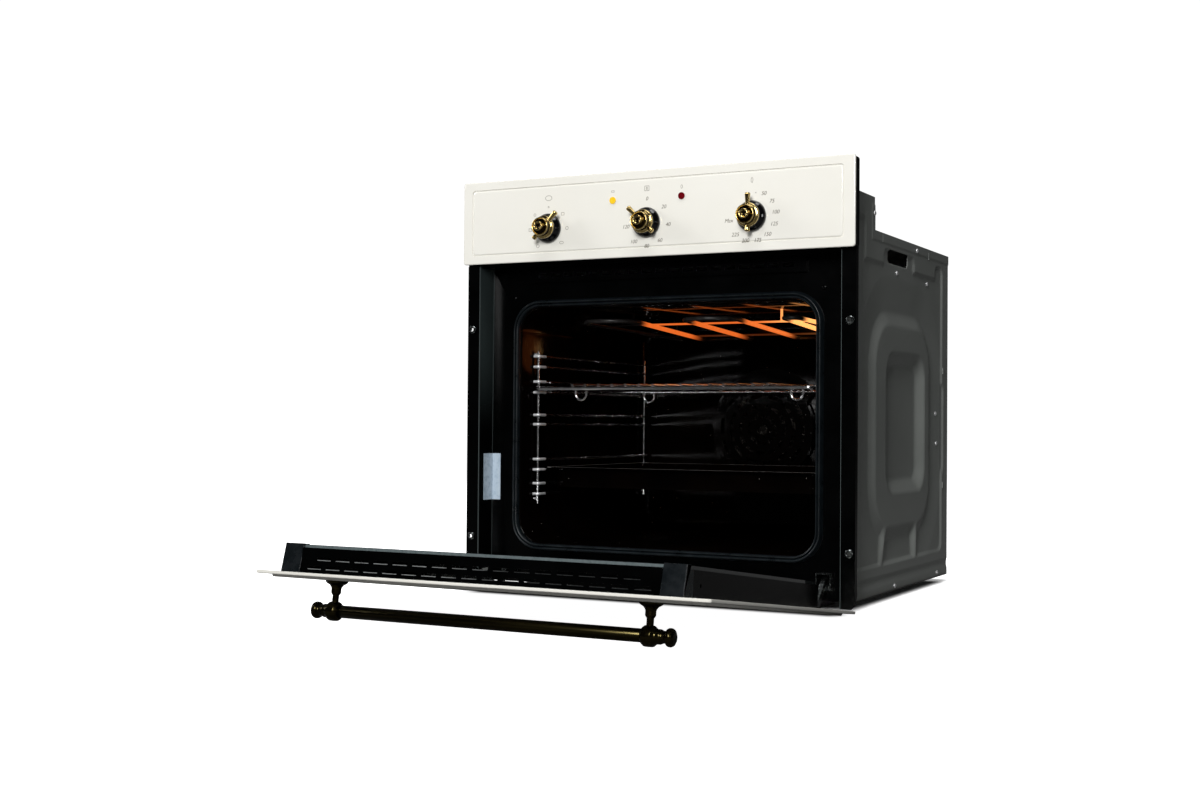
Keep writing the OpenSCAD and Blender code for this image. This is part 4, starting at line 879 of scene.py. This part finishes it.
yellow_lens = surface("yellow_lens", (0.72, 0.44, 0.01), (0.82, 0.54, 0.03), (0.1, 0.2), patch=400, fine=2500,
                      relief=0.01, Emission_Color=(1.0, 0.66, 0.03, 1), Emission_Strength=0.16)
dress(yellow_lens, "power_lamp")
red_lens = surface("red_lens", (0.10, 0.001, 0.004), (0.15, 0.002, 0.006), (0.06, 0.12), patch=400, fine=2500,
                   relief=0.01)
dress(red_lens, "heating_lamp")


# Knobs
# Each knob has a glossy black bell moulded round the shaft, and a turned brass grip with two spokes:
# a long one that points, and a short one opposite. Thin dark shells laid over the brass round the neck,
# in the dish and in the button are painted shade and dark reflection.

bell_black = surface("bell_black", (0.0006, 0.0006, 0.0008), (0.0014, 0.0014, 0.0018), (0.05, 0.1), patch=120,
                     fine=600, relief=0.002)
turned_grain = grain_group("turned_grain", stretch=(0.3, 6, 0.3))
brass = surface("brass", (0.42, 0.30, 0.11), (0.58, 0.44, 0.18), (0.08, 0.16), metal=1.0, grain=turned_grain,
                patch=60, fine=400, relief=0.0008)
brass_dark_reflection = surface("brass_dark_reflection", (0.020, 0.013, 0.005), (0.060, 0.042, 0.014), (0.10, 0.2), metal=1.0,
                     grain=turned_grain, patch=60, fine=400, relief=0.0008)
bell = eased([(3.2, 0.8), (20.1, 0.8), (20.75, 1.4), (20.75, 3.0), (20.3, 4.6), (19.0, 6.5), (17.0, 8.4),
              (15.5, 10.3), (14.9, 12.2), (14.75, 13.0), (3.2, 13.0)], 0.5)
crown = eased([(0.01, 12.6), (15.0, 12.6), (15.6, 13.2), (16.1, 13.9), (16.1, 16.2), (15.2, 17.2),
               (13.2, 17.6), (12.6, 18.6), (12.6, 24.4), (12.9, 25.2), (12.6, 26.4), (11.8, 27.0),
               (10.8, 26.4), (9.4, 23.8), (7.0, 23.2), (6.7, 24.6), (7.0, 29.6), (6.5, 30.8),
               (5.5, 31.3), (4.4, 30.6), (3.0, 29.4), (0.01, 29.0)], 0.5)
neck_band = [(12.4, 18.4), (12.75, 18.6), (12.75, 24.0), (12.4, 24.2)]
dish_floor = [(10.7, 26.1), (9.5, 24.3), (7.1, 23.6), (6.6, 23.6), (6.6, 22.8), (10.7, 22.8)]
button_eye = [(0.01, 29.1), (3.0, 29.5), (4.0, 30.2), (3.0, 29.0), (0.01, 28.6)]
spoke_height = 15.4


def spoke(x, angle, length, tip):
    """A tapered spoke with a rounded, slightly flared end, in the plane of the collar."""
    profile = eased([(0.01, 10), (tip * 0.74, 10), (tip * 0.7, 14), (tip * 0.9, length - 5),
                     (tip, length - 1.8), (tip * 0.82, length - 0.3), (0.01, length)], 0.7)
    verts, faces = lathe(profile, (0, 0, 0), "z", 28)
    c, s = math.cos(math.radians(angle)), math.sin(math.radians(angle))
    return [(x + u * c + w * s, v - spoke_height, knob_z - u * s + w * c) for u, v, w in verts], faces


knobs = (("function", function_x, 45), ("timer", timer_x, -47), ("thermostat", thermostat_x, 0))
for word, x, angle in knobs:
    centre = (x, 0, knob_z)
    make_piece(word + "_bell", lathe(bell, centre, "-y", 96), bell_black, word + "_knob",
               [word + "_skirt"])
    grip = joined(lathe(crown, centre, "-y", 96), spoke(x, angle, 29.4, 3.9),
                  spoke(x, angle + 180, 22.4, 3.6))
    make_piece(word + "_crown", grip, brass, word + "_knob", [word + "_grip"])
    # Dark shells laid over the brass round the neck, in the dish and in the button: painted shade and dark
    # reflection.
    dark_bands = joined(lathe(neck_band + neck_band[:1], centre, "-y", 72),
                     lathe(dish_floor + dish_floor[:1], centre, "-y", 72),
                     lathe(button_eye, centre, "-y", 48))
    make_piece(word + "_grip_recesses", dark_bands, brass_dark_reflection, word + "_knob")


# Racks and trays
# Welded wire racks hang on both walls, a wire shelf with stop feet lies on one pair of runners and an
# enamelled tray on another. The wire is chromed and a little rougher where the runners are bent and
# welded; the lighter colour of those welded front ends is a painted glint.

chrome = surface("chrome", (0.62, 0.62, 0.63), (0.80, 0.80, 0.81), (0.10, 0.22), metal=1.0, patch=150,
                 fine=900, relief=0.03)
dress(chrome, "wire_shelf")


def wire(points, r, n=12, round_by=0):
    """A wire along a path, with its corners rounded and its ends closed."""
    path = [Vector(p) for p in (eased(points, round_by, 5) if round_by else points)]
    loops = []
    for i, at in enumerate(path):
        way = (path[min(i + 1, len(path) - 1)] - path[max(i - 1, 0)]).normalized()
        side = way.cross(Vector((0.31, 0.17, 0.93))).normalized()
        up = way.cross(side)
        loops.append([tuple(at + r * (math.cos(a) * side + math.sin(a) * up))
                      for a in (2 * math.pi * k / n for k in range(n))])
    return lace(loops, first=True, last=True)


# The lighter colour of the welded front ends is a painted glint; they are also rougher than the chrome.
welded_ends_glint = surface("welded_ends_glint", (0.80, 0.80, 0.81), (0.92, 0.92, 0.93), (0.28, 0.40), metal=0.55,
                      patch=150, fine=900, relief=0.03)
(rack_inner, rack_front, rack_foot), (rack_outer, rack_back, rack_head) = extent("side_rack_right")
upright_x = rack_outer - 6
runner_x = rack_inner + 2
runner_front = rack_front + 1.8
front_upright = rack_front + 6
back_upright = rack_back - 2.5
runner_back = 447
hook_x, hook_end = 226, 100
weld_x, weld_end = 227, 104
upright_r, runner_r, weld_r = 2.5, 2, 2.1
rack_rows = [139, 154.5, 175, 190.5, 242, 256, 289.5, 305.5, 327.5, 343]
for side, word in ((1, "right"), (-1, "left")):
    wires, ends = [], []
    for y in (front_upright, back_upright):
        wires.append(wire([(side * upright_x, y, rack_foot), (side * upright_x, y, rack_head)],
                          upright_r, 16))
        for z in (rack_foot + 7, rack_head - 4):
            wires.append(wire([(side * upright_x, y, z), (side * (rack_outer - 0.2), y, z)],
                              upright_r, 16))
    for z in rack_rows:
        wires.append(wire([(side * runner_x, runner_back, z), (side * runner_x, runner_front, z),
                           (side * hook_x, runner_front, z), (side * hook_x, hook_end, z)],
                          runner_r, round_by=3))
        ends.append(wire([(side * weld_x, runner_front, z), (side * runner_x, runner_front, z),
                          (side * runner_x, weld_end, z)], weld_r, round_by=3))
        wires.append(wire([(side * runner_x, back_upright, z), (side * upright_x, back_upright, z)],
                          runner_r))
    make_piece("rack_wires_" + word, joined(*wires), chrome, "oven_body",
               ["side_rack_" + word])
    make_piece("rack_wire_ends_" + word, joined(*ends), welded_ends_glint, "oven_body")
dress(cavity_enamel, "baking_tray")
# The grey of the tray's rolled rim is a painted highlight along its edge.
rim_painted_highlight = surface("rim_painted_highlight", (0.10, 0.10, 0.10), (0.24, 0.24, 0.23), (0.3, 0.45), metal=0.4, patch=160,
                   fine=2500, relief=0.02)
tray_low, tray_high = extent("baking_tray")
rim_r = 0.8
rim_x = tray_high[0] - 1
rim_front = tray_low[1] + rim_r
rim_back = tray_high[1] - rim_r
rim_z = tray_high[2] - 0.6
rim_seam = 264
rim_path = [(rim_x, rim_seam, rim_z), (rim_x, rim_front, rim_z), (-rim_x, rim_front, rim_z),
            (-rim_x, rim_back, rim_z), (rim_x, rim_back, rim_z), (rim_x, rim_seam, rim_z)]
make_piece("tray_rolled_rim", wire(rim_path, rim_r, 8, 9), rim_painted_highlight, "tray")


# Door skin
# The outer pan of the door, warm white like the panel: a flat rim, a raised field and a dark window, with
# its edges folded back. It carries the glass, the side channels and the handle.

door_hinge = next(j for j in frame["joints"] if j["name"] == "door_hinge")
pin_y = door_hinge["pos_m"][1] * 1000 + panel_face
pin_z = door_hinge["pos_m"][2] * 1000
rest_turn = math.radians(door_hinge["range_deg"][1])


def on_door(p):
    """For pieces drawn on the shut door, which rests open, turned about its hinge pins."""
    c, s = math.cos(rest_turn), math.sin(rest_turn)
    y, z = p[1] - pin_y, p[2] - pin_z
    return to_frame((p[0], pin_y + y * c - z * s, pin_z + y * s + z * c))


door_half, door_bottom, door_top = 297.5, 5, 471
skin = [(296.5, 7, 3), (297.5, 6.6, 4), (297.5, 4, 4), (297.2, 3.4, 3.8), (296.4, 3, 3.2), (295.4, 3, 3),
        (286.6, 3, 6.8), (285.8, 3, 6.6), (285.1, 2.6, 6.4), (284.4, 0.5, 6), (283.6, 0, 5.6), (282.6, 0, 5)]
skin_loops = [rounded(h, door_bottom + door_half - h, door_top - door_half + h, r, y) for h, y, r in skin]
window_half, window_bottom, window_top, window_round = 207, 119, 359, 20
skin_loops += [rounded(window_half - k, window_bottom + k, window_top - k, window_round - k, y)
               for k, y in ((0, 0), (1, 0), (1.8, 0.3), (2, 1))]
make_piece("door_pan", lace(skin_loops), warm_white, "door", ["door_skin"], put=on_door,
           facing=(0, 0, -1), wall=0.9, sharp=50)

tinted_glass = surface("tinted_glass", (0.006, 0.006, 0.006), (0.010, 0.010, 0.010), (0.03, 0.06), patch=8,
                       fine=60, relief=0.004, Coat_Weight=0.6, Coat_Roughness=0.02)
dress(tinted_glass, "door_window_glass")
clear_glass = surface("clear_glass", (0.010, 0.013, 0.013), (0.016, 0.019, 0.019), (0.03, 0.07), patch=8,
                      fine=60, relief=0.004, Coat_Weight=0.6, Coat_Roughness=0.02)
dress(clear_glass, "door_inner_glass")


# Door framework
# Two side channels and the slotted upper profile, folded from black steel sheet and screwed to the skin,
# with a moulded slate-grey cap on each upper corner. The slots show the sheet's bare cut edges, coloured
# light as a painted glint that is darkened towards the right by painted shade.

softened("door_side_profiles", frame_black, "door", 0.3)
softened("door_vent_profile", frame_black, "door", 0.3)


def bar(x0, x1, y0, y1, z0, z1):
    """A straight bar."""
    return lace([[(x, y0, z0), (x, y1, z0), (x, y1, z1), (x, y0, z1)] for x in (x0, x1)],
                first=True, last=True)


bare_edge_glint = surface("bare_edge_glint", (0.24, 0.25, 0.25), (0.34, 0.36, 0.36), (0.25, 0.4), metal=0.5, patch=200,
                    fine=2500, relief=0.01)
# The light colour of the cut edges is a painted glint; the mask darkens it towards the right as painted
# shade.
glint_until, shaded_from, most_shade = -0.06, 0.06, 0.93
across = object_parts(bare_edge_glint.node_tree)[0]
paint = soft_step(bare_edge_glint.node_tree, across, glint_until, shaded_from, 0.0, most_shade)
tint(bare_edge_glint, paint, (0.004, 0.005, 0.005))
slot_pitch, outer_row, inner_row = 27, 11.4, 21.9
lip_half, lip_width, lip_height = 9.7, 0.9, 1.2
profile_top = 462
vent_slots = [(slot_pitch * i, outer_row) for i in range(-8, 9)]
vent_slots += [(slot_pitch * (i + 0.5), inner_row) for i in range(-8, 8)]
slot_lips = [bar(x - lip_half, x + lip_half, y, y + lip_width, profile_top, profile_top + lip_height)
             for x, y in vent_slots]
make_piece("vent_slot_lips", joined(*slot_lips), bare_edge_glint, "door", put=on_door)
# A thin strip along the inner glass's front edge; its light grey-blue is a painted highlight.
glass_edge_highlight = surface("glass_edge_highlight", (0.075, 0.097, 0.10), (0.11, 0.135, 0.14), (0.25, 0.4), patch=200,
                      fine=2500, relief=0.01)
edge_half, edge_y0, edge_y1, edge_z0, edge_z1 = 260, 36.9, 40.1, 456.9, 457.3
make_piece("glass_front_edge", bar(-edge_half, edge_half, edge_y0, edge_y1, edge_z0, edge_z1), glass_edge_highlight,
           "door", put=on_door)
slate = surface("slate_moulding", (0.0022, 0.0036, 0.0046), (0.004, 0.006, 0.0075), (0.22, 0.34), patch=60,
                fine=1400, relief=0.03, Specular_IOR_Level=0.25)
softened("door_end_caps", slate, "door", 0.7)


# Handle
# A tube held between two castings, each with a post, a turned knuckle and an end knob, and screwed through
# the skin from behind. All of it is plated in dark antique bronze.

bronze = surface("antique_bronze", (0.014, 0.0115, 0.005), (0.050, 0.040, 0.015), (0.13, 0.26), metal=1.0,
                 grain=brushed_grain, patch=70, fine=1500, relief=0.008)
handle_y, handle_z = -36, 426
tube_half, tube_r = 200.5, 7.5
post_x = 209
tube = [(0.01, -tube_half), (tube_r - 0.3, -tube_half), (tube_r, 0.5 - tube_half), (tube_r, tube_half - 0.5),
        (tube_r - 0.3, tube_half), (0.01, tube_half)]
make_piece("handle_tube", lathe(tube, (0, handle_y, handle_z), "x", 64), bronze, "door",
           ["handle_bar"], put=on_door)
post = eased([(0.01, 0), (13.5, 0), (13.5, 1.4), (12, 3), (8.4, 5), (6.6, 7.4), (6, 9), (6, 14), (5.2, 15.6),
              (4, 17), (4, 28.6), (0.01, 28.6)], 0.6)
knuckle = eased([(0.01, -8.5), (8.4, -8.5), (9.6, -7.4), (11.4, -5), (11.7, 0.3), (11.4, 5.2), (10.2, 6.9),
                 (8.8, 8.4), (8.2, 10), (8.2, 14), (7, 16.5), (6.6, 19.5), (7.4, 21), (9.4, 22), (10.2, 24),
                 (10.2, 26.4), (9.2, 28.6), (6, 30.4), (0.01, 31)], 0.6)
castings = []
for side, outwards in ((-1, "-x"), (1, "x")):
    castings.append(lathe(post, (side * post_x, 0, handle_z), "-y", 64))
    castings.append(lathe(knuckle, (side * post_x, handle_y, handle_z), outwards, 72))
make_piece("handle_castings", joined(*castings), bronze, "door", ["handle_posts"], put=on_door)


# Room
# A pale matt floor with a faint shade along the oven's foot, a plain bright backdrop and large soft panels
# of light. A small warm light stands in for the oven's own lamp. The camera is where the picture was taken.

floor_mesh = bpy.data.meshes.new("floor")
floor_half, floor_gap = 40, 0.0005
floor_corners = [(-floor_half, -floor_half, 0), (floor_half, -floor_half, 0),
                 (floor_half, floor_half, 0), (-floor_half, floor_half, 0)]
floor_mesh.from_pydata(floor_corners, [], [(0, 1, 2, 3)])
floor = bpy.data.objects.new("floor", floor_mesh)
floor.location.z = cad_bounds[0][2] - floor_gap
bpy.context.scene.collection.objects.link(floor)
pale_floor = surface("pale_floor", (0.84, 0.84, 0.84), (0.88, 0.88, 0.88), (0.7, 0.8), patch=1, fine=200,
                     relief=0.01, Emission_Color=(1, 1, 1, 1))
floor_mesh.materials.append(pale_floor)
tree = pale_floor.node_tree
link = tree.links.new
foot_half, shade_width = 0.262, 0.028
where = add(tree, "ShaderNodeTexCoord")
folded = add(tree, "ShaderNodeVectorMath", operation="ABSOLUTE")
beyond = add(tree, "ShaderNodeVectorMath", operation="SUBTRACT", values={1: (foot_half, foot_half, 0)})
outside = add(tree, "ShaderNodeVectorMath", operation="MAXIMUM", values={1: (0, 0, 0)})
distance = add(tree, "ShaderNodeVectorMath", operation="LENGTH")
link(where.outputs["Object"], folded.inputs[0])
link(folded.outputs[0], beyond.inputs[0])
link(beyond.outputs[0], outside.inputs[0])
link(outside.outputs[0], distance.inputs[0])
floor_shader = tree.nodes["Principled BSDF"]
link(soft_step(tree, distance.outputs["Value"], 0.0, shade_width), floor_shader.inputs["Emission Strength"])
seen = add(tree, "ShaderNodeLightPath")
bounce = add(tree, "ShaderNodeBsdfDiffuse", values={"Color": (0.13, 0.13, 0.13, 1)})
choice = add(tree, "ShaderNodeMixShader")
link(seen.outputs["Is Camera Ray"], choice.inputs[0])
link(bounce.outputs[0], choice.inputs[1])
link(floor_shader.outputs[0], choice.inputs[2])
link(choice.outputs[0], tree.nodes["Material Output"].inputs[0])

world = bpy.data.worlds.new("studio")
bpy.context.scene.world = world
world.use_nodes = True
tree = world.node_tree
link = tree.links.new
tree.nodes.clear()
seen = add(tree, "ShaderNodeLightPath")
fill = add(tree, "ShaderNodeBackground", values={"Color": (1, 1, 1, 1), "Strength": 0.07})
mirrored = add(tree, "ShaderNodeBackground", values={"Color": (1, 1, 1, 1), "Strength": 0.03})
backdrop = add(tree, "ShaderNodeBackground", values={"Color": (1, 1, 1, 1), "Strength": 1.05})
first, second = add(tree, "ShaderNodeMixShader"), add(tree, "ShaderNodeMixShader")
out = add(tree, "ShaderNodeOutputWorld")
link(seen.outputs["Is Glossy Ray"], first.inputs[0])
link(fill.outputs[0], first.inputs[1])
link(mirrored.outputs[0], first.inputs[2])
link(seen.outputs["Is Camera Ray"], second.inputs[0])
link(first.outputs[0], second.inputs[1])
link(backdrop.outputs[0], second.inputs[2])
link(second.outputs[0], out.inputs[0])


def soft_panel(name, place, aim, width, height, power):
    """A large soft light that faces a point."""
    light = bpy.data.lights.new(name, "AREA")
    light.shape = "RECTANGLE"
    light.size = width
    light.size_y = height
    light.energy = power
    lamp = bpy.data.objects.new(name, light)
    lamp.location = place
    lamp.rotation_euler = (Vector(aim) - Vector(place)).to_track_quat("-Z", "Y").to_euler()
    bpy.context.scene.collection.objects.link(lamp)


soft_panel("key_panel", (0.66, -2.95, 1.35), (0.1, -0.2, 0.35), 0.7, 0.9, 74)
soft_panel("left_panel", (-2.6, -1.2, 1.5), (-0.1, -0.3, 0.4), 0.8, 1.0, 32)
soft_panel("right_strip", (2.5, -1.3, 0.62), (0.0, -0.25, 0.55), 0.09, 0.6, 1.5)
soft_panel("top_panel", (0.35, -0.9, 2.7), (0.1, -0.1, 0.3), 1.4, 0.9, 24)
soft_panel("rear_panel", (-1.3, 2.5, 2.5), (0, 0.2, 0.3), 2.0, 2.0, 62)
warm = bpy.data.lights.new("oven_light", "POINT")
warm.energy = 0.06
warm.color = (1.0, 0.24, 0.05)
warm.shadow_soft_size = 0.03
bulb_x, bulb_z = middle("lamp_bulb")
warm_lamp = bpy.data.objects.new("oven_light", warm)
warm_lamp.location = to_frame((bulb_x, 420, bulb_z - 6))
bpy.context.scene.collection.objects.link(warm_lamp)

picture_width, focal_pixels, sensor = 1200, 1541.2, 36
camera = bpy.data.cameras.new("camera")
camera.lens = focal_pixels / picture_width * sensor
camera.sensor_width = sensor
camera.sensor_fit = "HORIZONTAL"
camera.clip_end = 200
eye = bpy.data.objects.new("camera", camera)
eye_place = (0.9316, -2.1596, 0.2448)
yaw, pitch, roll = math.radians(27.896), math.radians(0.855), math.radians(0.423)
ahead = Vector((-math.sin(yaw) * math.cos(pitch), math.cos(yaw) * math.cos(pitch), math.sin(pitch)))
level = Vector((math.cos(yaw), math.sin(yaw), 0))
upright = level.cross(ahead)
right = math.cos(roll) * level + math.sin(roll) * upright
up = math.cos(roll) * upright - math.sin(roll) * level
eye.matrix_world = Matrix([(right[i], up[i], -ahead[i], eye_place[i]) for i in range(3)] + [(0, 0, 0, 1)])
bpy.context.scene.collection.objects.link(eye)
bpy.context.scene.camera = eye
bpy.context.scene.view_settings.view_transform = "Standard"
